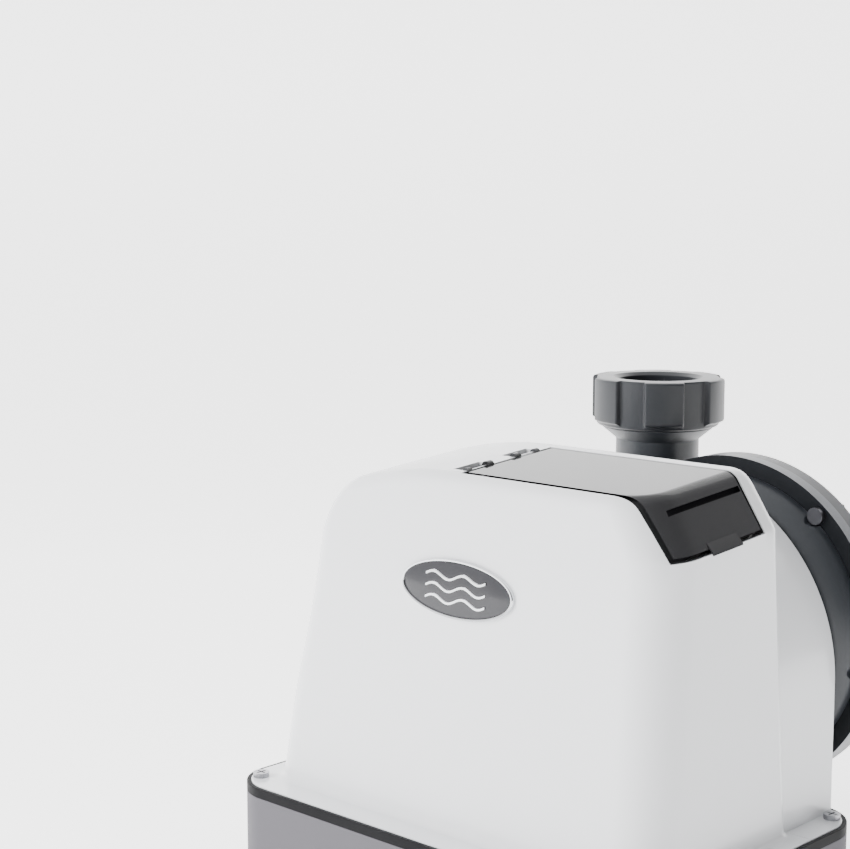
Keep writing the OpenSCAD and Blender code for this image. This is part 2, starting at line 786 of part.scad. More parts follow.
module pump_casing() {
  color("#55585e") difference() {
    union() {
      on_axis(plate_y) {
        cylinder(h = 9, r = rim_r, $fn = 96);
        cylinder(h = 30, r = chamber_r + 5, $fn = 96);
        translate([0, 0, 30]) cylinder(h = 10, r1 = chamber_r + 5, r2 = 46, $fn = 96);
        cylinder(h = casing_y1 - plate_y, r = 32);
        cylinder(h = suction_y1 - plate_y, r = suction_r + 5);
        translate([0, 0, suction_y1 - plate_y - 18]) cylinder(h = 18, r = collar_r);
      }
      translate([outlet_x, outlet_y, motor_z - 12]) cylinder(h = nut_z - motor_z + 6, r = neck_r);
      translate([outlet_x, outlet_y, motor_z - 12]) sphere(r = neck_r);
      translate([outlet_x, outlet_y, nut_z - 8]) cylinder(h = 7, r1 = neck_r, r2 = 33);
      translate([outlet_x, outlet_y, nut_z - 1]) cylinder(h = 0.6, r = 33);
      translate([outlet_x, outlet_y, nut_z - 1]) cylinder(h = collar_h, r = collar_r);
      translate([outlet_x, outlet_y, cap_z]) rotate([0, -90, 0]) cylinder(h = neck_r + 8, r = 15);
      translate([outlet_x, outlet_y, sensor_z]) rotate([-90, 0, 0]) cylinder(h = neck_r + 6, r = 10);
      on_axis(plate_y + 12) translate([0, chamber_r - 2, 0]) rotate([-90, 0, 0])
        translate([0, -8, 0]) cylinder(h = 14, r = 8);
    }
    on_axis(plate_y - 1) cylinder(h = 27, r = chamber_r, $fn = 96);
    on_axis(plate_y + 20) cylinder(h = 100, r = suction_r);
    on_axis(suction_y1 - socket_l) cylinder(h = 100, r = socket_r);
    translate([outlet_x, outlet_y, motor_z - 12]) cylinder(h = 200, r = cell_r);
    translate([outlet_x, outlet_y, nut_z + collar_h - 1 - socket_l])
      cylinder(h = 100, r = socket_r);
    translate([outlet_x, outlet_y, motor_z - 12]) sphere(r = cell_r);
    translate([outlet_x, outlet_y - 20, motor_z - 28]) cube([40, 8, 36]);
    translate([outlet_x, outlet_y, cap_z]) rotate([0, -90, 0]) cylinder(h = 60, r = 9);
    translate([outlet_x, outlet_y, sensor_z]) rotate([-90, 0, 0]) cylinder(h = 60, r = 6);
    on_axis(plate_y + 12) translate([0, chamber_r - 12, 0]) rotate([-90, 0, 0])
      translate([0, -8, 0]) cylinder(h = 40, r = 4.1);
    for (a = bolt_at) on_axis(plate_y - 1) rotate([0, 0, a])
      translate([bolt_circle, 0, 0]) cylinder(h = 20, r = 2.6);
  }
}

module casing_oring() {
  color("#101012") on_axis(plate_y - 2) rotate_extrude($fn = 96)
    translate([chamber_r + 6, 0]) circle(1.9);
}

module casing_bolts() {
  color("#b8babd") for (a = bolt_at) on_axis(plate_y) rotate([0, 0, a])
    translate([bolt_circle, 0, 0]) {
      translate([0, 0, -8]) cylinder(h = 22, r = 2.5);
      translate([0, 0, -12]) cylinder(h = 4, r = 4.6);
      translate([0, 0, 9]) cylinder(h = 4, r = 4.6, $fn = 6);
    }
}

module drain_plug() {
  color("#2a2b2e") on_axis(plate_y + 12) translate([0, chamber_r - 2, 0]) rotate([-90, 0, 0])
    translate([0, -8, 0]) {
      translate([0, 0, -2]) cylinder(h = 16 + gap, r = 4);
      translate([0, 0, 14 + gap]) cylinder(h = 6, r = 8);
      translate([-7, -1.5, 14 + gap]) cube([14, 3, 11]);
    }
}

// One of the nut's broad grip lobes, as a sector in plan
module nut_lobe() {
  reach = 60;
  half_width = reach * tan(17.5);
  intersection() {
    circle(nut_r + lobe_h);
    polygon([[0, 0], [reach, -half_width], [reach, half_width]]);
  }
}

// Union nut with six grip lobes, open at both ends, drawn upwards from its skirt
module union_nut() {
  difference() {
    union() {
      cylinder(h = nut_h, r = nut_r);
      for (a = [12:60:312]) rotate([0, 0, a]) translate([0, 0, 2])
        linear_extrude(nut_h - 2.5) nut_lobe();
    }
    translate([0, 0, -1]) cylinder(h = nut_h - 5, r = collar_r + 0.08);
    translate([0, 0, -1]) cylinder(h = nut_h + 2, r = socket_r + 1);
    translate([0, 0, nut_h - 2]) cylinder(h = 3, r1 = socket_r + 1, r2 = socket_r + 4);
  }
}

module outlet_nut() {
  color("#3c4044") translate([outlet_x, outlet_y, nut_z]) union_nut();
}

module suction_nut() {
  color("#3c4044") on_axis(casing_y1 + 44 - nut_h) union_nut();
}

module port_seals() {
  color("#101012") {
    translate([outlet_x, outlet_y, nut_z + collar_h - 1]) ring(collar_r - 1, socket_r + 0.5, 3);
    on_axis(suction_y1) ring(collar_r - 1, socket_r + 0.5, 1.6);
  }
}

// ---- Electrode cell and flow sensor ----

plate_w = 30;
plate_h = 48;
plate_z = base_h + 88;
pitch = 4;

module electrode_plates() {
  color("#8d9298") for (k = [0:plates - 1])
    translate([outlet_x + pitch * (k - (plates - 1) / 2) - 0.5, outlet_y - plate_w / 2, plate_z])
      cube([1, plate_w, plate_h]);
}

module electrode_frame() {
  span = pitch * (plates - 1) + 5;
  color("#d5d6d3") for (z = [plate_z + 5, plate_z + plate_h - 9]) for (s = [-1, 1])
    translate([outlet_x - span / 2, outlet_y + s * (plate_w / 2 - 1) - 1.5, z]) difference() {
      cube([span, 3, 4]);
      for (k = [0:plates - 1])
        translate([2 + pitch * k, s > 0 ? -1 : 0.4, -1]) cube([1, 3.6, 8]);
    }
}

module cell_cap() {
  color("#2c2e31") translate([outlet_x - neck_r - 8, outlet_y, cap_z]) rotate([0, -90, 0])
    difference() {
      union() {
        cylinder(h = 16, r = 16);
        translate([0, 0, -6]) cylinder(h = 6, r = 8.9);
        for (a = [0:60:300]) rotate([0, 0, a]) translate([15, 0, 0]) cylinder(h = 14, r = 3);
      }
      for (y = [-4, 4]) translate([0, y, -10]) cylinder(h = 18, r = 1.6);
      translate([0, 0, 10]) rotate([0, -90, 0]) cylinder(h = 30, r = 3.4);
    }
}

module cell_studs() {
  reach = neck_r + 12 - pitch * (plates - 1) / 2 - 0.5;
  color("#c2b280") for (y = [-4, 4])
    translate([outlet_x - pitch * (plates - 1) / 2 - 0.5, outlet_y + y, cap_z]) rotate([0, -90, 0])
      cylinder(h = reach, r = 1.5);
}

module flow_sensor() {
  color("#2c2e31") translate([outlet_x, outlet_y, sensor_z]) rotate([-90, 0, 0]) difference() {
    union() {
      translate([0, 0, 13]) cylinder(h = neck_r + 6 - 13, r = 5.9);
      translate([0, 0, neck_r + 6]) cylinder(h = 9, r = 11, $fn = 6);
      translate([0, 0, neck_r + 15]) cylinder(h = 7, r = 7);
    }
    translate([-2.4, -20, 10]) cube([4.8, 40, 7.5]);
    translate([-20, 0, 15]) rotate([0, 90, 0]) cylinder(h = 40, r = 1);
  }
}

module flow_paddle() {
  color("#d8d3c0") translate([outlet_x, outlet_y, sensor_z]) {
    translate([-2.1, -13, -1.2]) cube([4.2, 28, 2.4]);
    translate([-5, -14, -1.2]) cube([10, 14, 2.4]);
    translate([-5, 15, 0]) rotate([0, 90, 0]) cylinder(h = 10, r = 0.95);
  }
}

base_tray();
rubber_feet();
rim_seal();
housing_shell();
rear_collar();
rear_panel();
housing_screws();
badge();
badge_trim();
flip_cover();
cover_hinge_pins();
control_panel();
display_lens();
display_module();
power_button();
timer_button();
boost_button();
lock_button();
status_leds();
control_board();
tact_switches();
power_board();
transformer_core();
transformer_coil();
filter_capacitors();
relays();
heat_sink();
panel_ribbon();
cell_leads();
cord_gland();
motor_can();
stator_core();
stator_windings();
drive_end_bell();
fan_end_bell();
motor_bearings();
rotor_core();
motor_shaft();
cooling_fan();
fan_cowl();
motor_cradle();
motor_strap();
motor_bolts();
seal_plate();
shaft_seal();
impeller();
pump_casing();
casing_oring();
casing_bolts();
drain_plug();
suction_nut();
outlet_nut();
port_seals();
electrode_plates();
electrode_frame();
cell_cap();
cell_studs();
flow_sensor();
flow_paddle();
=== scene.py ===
"""Looks of a salt chlorine generator: housing, flip-up cover, motor and wet end.

Sizes inside the classes are in millimetres in the part's own frame: X along the housing, Y towards
the wet end, Z up from the floor. Meshes are written in metres.
"""
import json
import logging
import math
from dataclasses import dataclass, field
from enum import Enum

import bmesh
import bpy
from mathutils import Euler, Matrix, Vector


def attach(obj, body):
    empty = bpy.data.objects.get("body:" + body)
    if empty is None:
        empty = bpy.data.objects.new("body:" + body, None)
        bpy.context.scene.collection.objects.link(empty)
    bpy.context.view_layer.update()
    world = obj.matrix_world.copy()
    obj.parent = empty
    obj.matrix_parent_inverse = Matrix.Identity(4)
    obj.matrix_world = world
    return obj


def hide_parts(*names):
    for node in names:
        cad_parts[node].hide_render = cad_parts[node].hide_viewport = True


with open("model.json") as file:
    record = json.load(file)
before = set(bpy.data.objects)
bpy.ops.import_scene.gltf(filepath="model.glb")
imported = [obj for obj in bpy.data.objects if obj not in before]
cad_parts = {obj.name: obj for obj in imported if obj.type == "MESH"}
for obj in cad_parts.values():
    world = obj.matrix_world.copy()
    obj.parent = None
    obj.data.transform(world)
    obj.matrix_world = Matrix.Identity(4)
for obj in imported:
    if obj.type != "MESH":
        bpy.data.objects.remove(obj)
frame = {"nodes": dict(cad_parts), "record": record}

LOG = logging.getLogger("salt_chlorine_generator")
MM = 0.001
WELD = 0.0005
BROAD_CELLS = 22.0
COAT_GLOSS = 0.04
PAST = 200.0
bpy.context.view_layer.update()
Point = tuple[float, float, float]
Color = tuple[float, float, float]


# ---- Finishes ----


class Grain(Enum):
    """The way a surface's fine relief runs."""

    MOULDED = (1.0, 1.0, 1.0)
    DRAWN_X = (0.03, 1.0, 1.0)
    DRAWN_Y = (1.0, 0.03, 1.0)
    DRAWN_Z = (1.0, 1.0, 0.03)
    STACKED_Y = (0.02, 1.0, 0.02)


@dataclass(frozen=True)
class Finish:
    """A procedural surface with uneven colour and gloss and a fine relief.

    cells is how many relief cells fit in a metre, and relief is their height in metres.
    """

    name: str
    color: Color
    rough: float = 0.4
    metal: float = 0.0
    grain: Grain = Grain.MOULDED
    cells: float = 1500.0
    relief: float = 0.00001
    mottle: float = 0.04
    uneven: float = 0.05
    wear: float = 0.0
    worn: Color = (0.5, 0.5, 0.5)
    coat: float = 0.0
    ior: float = 1.5
    clear: float = 0.0
    glow: float = 0.0

    def material(self) -> bpy.types.Material:
        """Builds the material once and returns it."""
        found = bpy.data.materials.get(self.name)
        if found:
            return found
        made = bpy.data.materials.new(self.name)
        made.use_nodes = True
        tree = made.node_tree
        shader = tree.nodes["Principled BSDF"]
        shader.inputs["Metallic"].default_value = self.metal
        shader.inputs["IOR"].default_value = self.ior
        shader.inputs["Coat Weight"].default_value = self.coat
        shader.inputs["Coat Roughness"].default_value = COAT_GLOSS
        shader.inputs["Transmission Weight"].default_value = self.clear
        if self.glow:
            shader.inputs["Emission Color"].default_value = (*self.color, 1.0)
            shader.inputs["Emission Strength"].default_value = self.glow
        place = tree.nodes.new("ShaderNodeTexCoord")
        stretch = tree.nodes.new("ShaderNodeMapping")
        stretch.inputs["Scale"].default_value = self.grain.value
        tree.links.new(place.outputs["Object"], stretch.inputs["Vector"])
        fine = self._noise(tree, stretch.outputs["Vector"], self.cells, 3.0)
        broad = self._noise(tree, place.outputs["Object"], BROAD_CELLS, 4.0)
        tree.links.new(self._tint(tree, broad, fine), shader.inputs["Base Color"])
        gloss = self._spread(tree, broad, self.rough - self.uneven, self.rough + self.uneven)
        tree.links.new(gloss, shader.inputs["Roughness"])
        bump = tree.nodes.new("ShaderNodeBump")
        bump.inputs["Distance"].default_value = self.relief
        tree.links.new(fine, bump.inputs["Height"])
        tree.links.new(bump.outputs["Normal"], shader.inputs["Normal"])
        return made

    def _noise(self, tree: bpy.types.NodeTree, vector: bpy.types.NodeSocket, scale: float,
               detail: float) -> bpy.types.NodeSocket:
        """A noise value.

        Args:
            tree: the material's nodes.
            vector: where the noise is read.
            scale: cells in a metre.
            detail: octaves.

        Returns:
            The noise's value socket.
        """
        noise = tree.nodes.new("ShaderNodeTexNoise")
        noise.inputs["Scale"].default_value = scale
        noise.inputs["Detail"].default_value = detail
        tree.links.new(vector, noise.inputs["Vector"])
        return noise.outputs["Fac"]

    def _spread(self, tree: bpy.types.NodeTree, value: bpy.types.NodeSocket, low: float,
                high: float) -> bpy.types.NodeSocket:
        """Maps a noise's middle range to a range of gloss.

        Args:
            tree: the material's nodes.
            value: the noise.
            low: result at the low end.
            high: result at the high end.

        Returns:
            The result's socket.
        """
        spread = tree.nodes.new("ShaderNodeMapRange")
        spread.inputs["From Min"].default_value = 0.3
        spread.inputs["From Max"].default_value = 0.7
        spread.inputs["To Min"].default_value = max(0.02, low)
        spread.inputs["To Max"].default_value = min(1.0, high)
        tree.links.new(value, spread.inputs["Value"])
        return spread.outputs["Result"]

    def _tint(self, tree: bpy.types.NodeTree, broad: bpy.types.NodeSocket,
              fine: bpy.types.NodeSocket) -> bpy.types.NodeSocket:
        """The colour, with broad variation and paler worn edges.

        Args:
            tree: the material's nodes.
            broad: slow noise.
            fine: quick noise, which breaks up the wear.

        Returns:
            The colour's socket.
        """
        mix = tree.nodes.new("ShaderNodeMix")
        mix.data_type = "RGBA"
        mix.inputs[6].default_value = (*[c * (1 - self.mottle) for c in self.color], 1)
        mix.inputs[7].default_value = (*[min(1, c * (1 + self.mottle)) for c in self.color], 1)
        tree.links.new(broad, mix.inputs[0])
        if not self.wear:
            return mix.outputs[2]
        shape = tree.nodes.new("ShaderNodeNewGeometry")
        edge = tree.nodes.new("ShaderNodeMapRange")
        edge.inputs["From Min"].default_value = 0.53
        edge.inputs["From Max"].default_value = 0.66
        edge.inputs["To Max"].default_value = self.wear
        tree.links.new(shape.outputs["Pointiness"], edge.inputs["Value"])
        broken = tree.nodes.new("ShaderNodeMath")
        broken.operation = "MULTIPLY"
        tree.links.new(edge.outputs["Result"], broken.inputs[0])
        tree.links.new(fine, broken.inputs[1])
        worn = tree.nodes.new("ShaderNodeMix")
        worn.data_type = "RGBA"
        worn.inputs[7].default_value = (*self.worn, 1)
        tree.links.new(broken.outputs[0], worn.inputs[0])
        tree.links.new(mix.outputs[2], worn.inputs[6])
        return worn.outputs[2]


WHITE_SHELL = Finish("white_shell", (0.74, 0.75, 0.77), rough=0.22, relief=0.000004, mottle=0.012,
                     cells=900.0, coat=0.25)
SATIN_WHITE = Finish("satin_white", (0.70, 0.71, 0.73), rough=0.42, mottle=0.02)
BASE_GREY = Finish("base_grey", (0.028, 0.027, 0.031), rough=0.62, ior=1.25, relief=0.00004, cells=1700.0,
                   mottle=0.08)
SEAL_BLACK = Finish("seal_black", (0.006, 0.006, 0.007), rough=0.55, ior=1.2, relief=0.00002)
SMOKE_BLACK = Finish("smoke_black", (0.030, 0.030, 0.032), rough=0.06, relief=0.000002, uneven=0.02,
                     cells=600.0, ior=1.33)
# Near black and dull: painted shade inside the cover's groove; on the cover's border and rounded edges,
# its black edge with painted gap shadow.
SHADE_AND_EDGE_BLACK = Finish("painted_shade_and_edge_black", (0.003, 0.003, 0.004), rough=0.6, ior=1.08)
WELL_GREY = Finish("well_grey", (0.045, 0.046, 0.050), rough=0.48, relief=0.00003, mottle=0.08)
BADGE_BLACK = Finish("badge_black", (0.006, 0.006, 0.007), rough=0.3, mottle=0.1, ior=1.2)
BADGE_SILVER = Finish("badge_silver", (0.86, 0.87, 0.88), rough=0.3, metal=1.0, grain=Grain.DRAWN_X)
SCREW_ZINC = Finish("screw_zinc", (0.34, 0.34, 0.36), rough=0.3, metal=1.0, mottle=0.15)
PIN_STEEL = Finish("pin_steel", (0.20, 0.20, 0.21), rough=0.25, metal=1.0, grain=Grain.DRAWN_Y)
LENS_TINT = Finish("lens_tint", (0.10, 0.03, 0.05), rough=0.05, clear=0.7, ior=1.49)
DISPLAY_BODY = Finish("display_body", (0.55, 0.55, 0.52), rough=0.5)
KEY_RED = Finish("key_red", (0.38, 0.035, 0.028), rough=0.4, relief=0.00002)
KEY_GREY = Finish("key_grey", (0.50, 0.51, 0.53), rough=0.42, relief=0.00002)
LAMP_GREEN = Finish("lamp_green", (0.10, 0.62, 0.16), rough=0.1, clear=0.25, glow=0.15)
BOARD_GREEN = Finish("board_green", (0.018, 0.14, 0.055), rough=0.3, mottle=0.2, coat=0.3)
SWITCH_BLACK = Finish("switch_black", (0.02, 0.02, 0.024), rough=0.4)
LAMINATED = Finish("laminated", (0.20, 0.205, 0.215), rough=0.42, metal=0.8, grain=Grain.STACKED_Y,
                   cells=2400.0, relief=0.0001, mottle=0.15)
ENAMELLED = Finish("enamelled", (0.62, 0.22, 0.07), rough=0.3, metal=0.85, grain=Grain.STACKED_Y,
                   cells=2200.0, relief=0.0002, mottle=0.18)
SLEEVE_BLUE = Finish("sleeve_blue", (0.022, 0.045, 0.11), rough=0.28, mottle=0.1)
RELAY_BLUE = Finish("relay_blue", (0.025, 0.13, 0.38), rough=0.25)
EXTRUDED = Finish("extruded", (0.66, 0.67, 0.69), rough=0.34, metal=1.0, grain=Grain.DRAWN_Z,
                  relief=0.00004)
RIBBON_GREY = Finish("ribbon_grey", (0.32, 0.33, 0.36), rough=0.5, grain=Grain.DRAWN_Z, cells=800.0,
                     relief=0.0002, mottle=0.12)
LEAD_BLACK = Finish("lead_black", (0.016, 0.016, 0.018), rough=0.45, relief=0.00003)
GLAND_BLACK = Finish("gland_black", (0.022, 0.022, 0.025), rough=0.42, relief=0.00003, wear=0.5,
                     worn=(0.12, 0.12, 0.13))
MOTOR_ENAMEL = Finish("motor_enamel", (0.055, 0.060, 0.070), rough=0.3, relief=0.00003, cells=700.0,
                      wear=0.4)
CAST_ALLOY = Finish("cast_alloy", (0.34, 0.35, 0.37), rough=0.48, metal=0.9, relief=0.00012,
                    cells=900.0, mottle=0.12)
GROUND_STEEL = Finish("ground_steel", (0.68, 0.69, 0.71), rough=0.22, metal=1.0, relief=0.00001)
ROTOR_STEEL = Finish("rotor_steel", (0.42, 0.43, 0.45), rough=0.35, metal=1.0, grain=Grain.STACKED_Y,
                     cells=2400.0, relief=0.00008)
FAN_BLACK = Finish("fan_black", (0.030, 0.030, 0.034), rough=0.45, relief=0.00003, mottle=0.1)
POWDER_GREY = Finish("powder_grey", (0.075, 0.078, 0.088), rough=0.5, relief=0.00008, cells=1300.0,
                     wear=0.4)
WET_END = Finish("wet_end", (0.020, 0.023, 0.028), rough=0.38, relief=0.00004, mottle=0.12, wear=0.5,
                 worn=(0.16, 0.17, 0.19))
# A darker copy of the wet-end colour: painted shade on the seal plate's front face.
WET_FACE_SHADE = Finish("painted_shade_wet_face", (0.006, 0.007, 0.009), rough=0.45, ior=1.3, relief=0.00004, mottle=0.12)
# A lighter copy of the wet-end colour: painted highlight on the seal plate's upward-facing rim; its worn
# edges are real wear.
WET_RIM_HIGHLIGHT = Finish("painted_highlight_wet_rim", (0.085, 0.090, 0.102), rough=0.42, relief=0.00004, mottle=0.10, wear=0.4,
                 worn=(0.25, 0.26, 0.28))
UNION_GREY = Finish("union_grey", (0.020, 0.022, 0.026), rough=0.34, relief=0.00003, mottle=0.1,
                    wear=0.5, worn=(0.16, 0.17, 0.19))
IMPELLER_GREY = Finish("impeller_grey", (0.60, 0.61, 0.62), rough=0.4)
BOLT_ZINC = Finish("bolt_zinc", (0.11, 0.11, 0.12), rough=0.3, metal=1.0, mottle=0.15)
COATED_TITANIUM = Finish("coated_titanium", (0.26, 0.27, 0.29), rough=0.5, metal=0.85,
                         grain=Grain.DRAWN_Z, relief=0.00005)
CELL_WHITE = Finish("cell_white", (0.64, 0.64, 0.61), rough=0.45)
STUD_BRASS = Finish("stud_brass", (0.70, 0.55, 0.28), rough=0.3, metal=1.0)
PADDLE_CREAM = Finish("paddle_cream", (0.64, 0.60, 0.48), rough=0.42)
STUDIO_PALE = Finish("studio_pale", (0.88, 0.88, 0.88), rough=0.7, relief=0.0, mottle=0.0, uneven=0.0,
                     glow=2.0)


# ---- Mesh helpers ----


def piece_from(name: str, mesh: bmesh.types.BMesh) -> bpy.types.Object:
    """Turns millimetre mesh data into an object in metres.

    Args:
        name: the new object's name.
        mesh: the mesh, which is freed.

    Returns:
        The object, linked to the scene.
    """
    bmesh.ops.remove_doubles(mesh, verts=mesh.verts, dist=WELD)
    bmesh.ops.recalc_face_normals(mesh, faces=mesh.faces)
    bmesh.ops.scale(mesh, vec=(MM, MM, MM), verts=mesh.verts)
    data = bpy.data.meshes.new(name)
    mesh.to_mesh(data)
    mesh.free()
    made = bpy.data.objects.new(name, data)
    bpy.context.scene.collection.objects.link(made)
    return made


def apply_modifiers(obj: bpy.types.Object) -> bpy.types.Object:
    """Bakes an object's modifiers into its mesh and returns it."""
    bpy.context.view_layer.update()
    graph = bpy.context.evaluated_depsgraph_get()
    done = bpy.data.meshes.new_from_object(obj.evaluated_get(graph))
    obj.modifiers.clear()
    obj.data = done
    return obj


def carve(obj: bpy.types.Object, tool: bpy.types.Object, how: str = "DIFFERENCE") -> bpy.types.Object:
    """Joins, cuts or intersects one solid with another, and removes the tool.

    Args:
        obj: the solid that stays.
        tool: the solid that is used up.
        how: DIFFERENCE, UNION or INTERSECT.

    Returns:
        The changed solid.
    """
    step = obj.modifiers.new("carve", "BOOLEAN")
    step.object = tool
    step.operation = how
    step.solver = "EXACT"
    apply_modifiers(obj)
    bpy.data.objects.remove(tool)
    return obj


def round_edges(obj: bpy.types.Object, width: float, steps: int = 2, angle: float = 35.0,
                smooth: float = 38.0, edge_slot: int = -1) -> bpy.types.Object:
    """Rounds the sharp edges of a solid and shades it smooth.

    Args:
        obj: the solid.
        width: the rounding's width in millimetres.
        steps: segments across the rounding.
        angle: edges sharper than this many degrees are rounded.
        smooth: edges sharper than this many degrees stay hard.
        edge_slot: the material slot of the roundings, or -1 for the faces' own.

    Returns:
        The changed solid.
    """
    if width > 0:
        bevel = obj.modifiers.new("edges", "BEVEL")
        bevel.width = width * MM
        bevel.segments = steps
        bevel.limit_method = "ANGLE"
        bevel.angle_limit = math.radians(angle)
        bevel.use_clamp_overlap = True
        bevel.material = edge_slot
        apply_modifiers(obj)
    obj.data.shade_smooth()
    obj.data.set_sharp_from_angle(angle=math.radians(smooth))
    even = obj.modifiers.new("normals", "WEIGHTED_NORMAL")
    even.keep_sharp = True
    return apply_modifiers(obj)


def softened(node: str, width: float, name: str = "", steps: int = 2) -> bpy.types.Object:
    """A copy of a CAD node with its edges rounded.

    Args:
        node: the CAD node.
        width: the rounding's width in millimetres.
        name: the copy's name, which is the node's with _moulded where it's left out.
        steps: segments across the rounding.

    Returns:
        The copy.
    """
    mesh = bmesh.new()
    mesh.from_mesh(frame["nodes"][node].data)
    bmesh.ops.scale(mesh, vec=(1 / MM, 1 / MM, 1 / MM), verts=mesh.verts)
    bmesh.ops.remove_doubles(mesh, verts=mesh.verts, dist=0.002)
    bmesh.ops.dissolve_limit(mesh, angle_limit=math.radians(0.6), verts=mesh.verts, edges=mesh.edges)
    return round_edges(piece_from(name or node + "_moulded", mesh), width, steps)


def bridge(mesh: bmesh.types.BMesh, low: list[bmesh.types.BMVert],
           high: list[bmesh.types.BMVert]) -> None:
    """Joins two closed rows of vertices by a band of faces.

    Args:
        mesh: the mesh that both rows are in.
        low: the first row.
        high: the second row, of the same length.
    """
    count = len(low)
    for k in range(count):
        mesh.faces.new((low[k], low[(k + 1) % count], high[(k + 1) % count], high[k]))


def circle(mesh: bmesh.types.BMesh, radius: float, height: float,
           steps: int) -> list[bmesh.types.BMVert]:
    """A row of vertices round Z.

    Args:
        mesh: the mesh that takes them.
        radius: distance from Z.
        height: distance along Z.
        steps: how many there are.

    Returns:
        The row.
    """
    turns = [2 * math.pi * k / steps for k in range(steps)]
    return [mesh.verts.new((radius * math.cos(a), radius * math.sin(a), height)) for a in turns]


def lathe(name: str, profile: list[tuple[float, float]], place: Matrix,
          steps: int = 96) -> bpy.types.Object:
    """Turns a closed outline of (radius, height) points about Z.

    Args:
        name: the new object's name.
        profile: the outline, in millimetres.
        place: where the turned solid goes.
        steps: facets around.

    Returns:
        The turned solid.
    """
    mesh = bmesh.new()
    rings = [circle(mesh, radius, height, steps) for radius, height in profile]
    for low, high in zip(rings, rings[1:] + rings[:1]):
        bridge(mesh, low, high)
    bmesh.ops.transform(mesh, matrix=place, verts=mesh.verts)
    bmesh.ops.remove_doubles(mesh, verts=mesh.verts, dist=WELD)
    bmesh.ops.dissolve_degenerate(mesh, edges=mesh.edges, dist=WELD)
    return piece_from(name, mesh)


def block(name: str, low: Point, high: Point, place: Matrix) -> bpy.types.Object:
    """A box, as a cutting tool or a blank.

    Args:
        name: the new object's name.
        low: its low corner, before it is moved.
        high: its high corner, before it is moved.
        place: where the box goes.

    Returns:
        The box.
    """
    mesh = bmesh.new()
    size = Vector(high) - Vector(low)
    middle = (Vector(high) + Vector(low)) / 2
    bmesh.ops.create_cube(mesh, size=1.0, matrix=place @ Matrix.Translation(middle)
                          @ Matrix.Diagonal((*size, 1)))
    return piece_from(name, mesh)


def prism(name: str, outline: list[tuple[float, float]], low: float, high: float,
          place: Matrix) -> bpy.types.Object:
    """Extrudes an outline along Z.

    Args:
        name: the new object's name.
        outline: its points in X and Y, in millimetres.
        low: where the extrusion starts.
        high: where it ends.
        place: where the solid goes.

    Returns:
        The solid.
    """
    mesh = bmesh.new()
    under = [mesh.verts.new((x, y, low)) for x, y in outline]
    over = [mesh.verts.new((x, y, high)) for x, y in outline]
    mesh.faces.new(under)
    mesh.faces.new(over)
    bridge(mesh, under, over)
    bmesh.ops.transform(mesh, matrix=place, verts=mesh.verts)
    return piece_from(name, mesh)


def arc(x: float, y: float, radius: float, start: float, end: float,
        steps: int) -> list[tuple[float, float]]:
    """Points on an arc, with angles in degrees, both ends included."""
    turns = [math.radians(start + (end - start) * k / steps) for k in range(steps + 1)]
    return [(x + radius * math.cos(a), y + radius * math.sin(a)) for a in turns]


def rounded_rectangle(length: float, width: float, radius: float,
                      steps: int = 12) -> list[tuple[float, float]]:
    """The outline of a rectangle with round corners, centred on the origin."""
    x, y = length / 2 - radius, width / 2 - radius
    return (arc(x, y, radius, 0, 90, steps) + arc(-x, y, radius, 90, 180, steps)
            + arc(-x, -y, radius, 180, 270, steps) + arc(x, -y, radius, 270, 360, steps))


BODIES = {node: body for body, nodes in frame["record"]["behaviour"]["bodies"].items()
          for node in nodes}


def install(obj: bpy.types.Object, finish: Finish, node: str, *others: str) -> bpy.types.Object:
    """Dresses a piece and lets it stand for CAD nodes.

    Args:
        obj: the piece.
        finish: its surface, which is added only where the piece has no material yet.
        node: the CAD node whose body it joins and which it hides.
        *others: more CAD nodes that it stands for.

    Returns:
        The piece.
    """
    if not obj.data.materials:
        obj.data.materials.append(finish.material())
    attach(obj, BODIES[node])
    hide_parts(node, *others)
    LOG.info("%s stands for %s", obj.name, ", ".join((node, *others)))
    return obj


def repaint(node: str, finish: Finish) -> None:
    """Gives a CAD node, whose shape stays, a better material."""
    part = frame["nodes"][node]
    part.data.materials.clear()
    part.data.materials.append(finish.material())
    LOG.info("%s repainted as %s", node, finish.name)


# ---- Housing ----


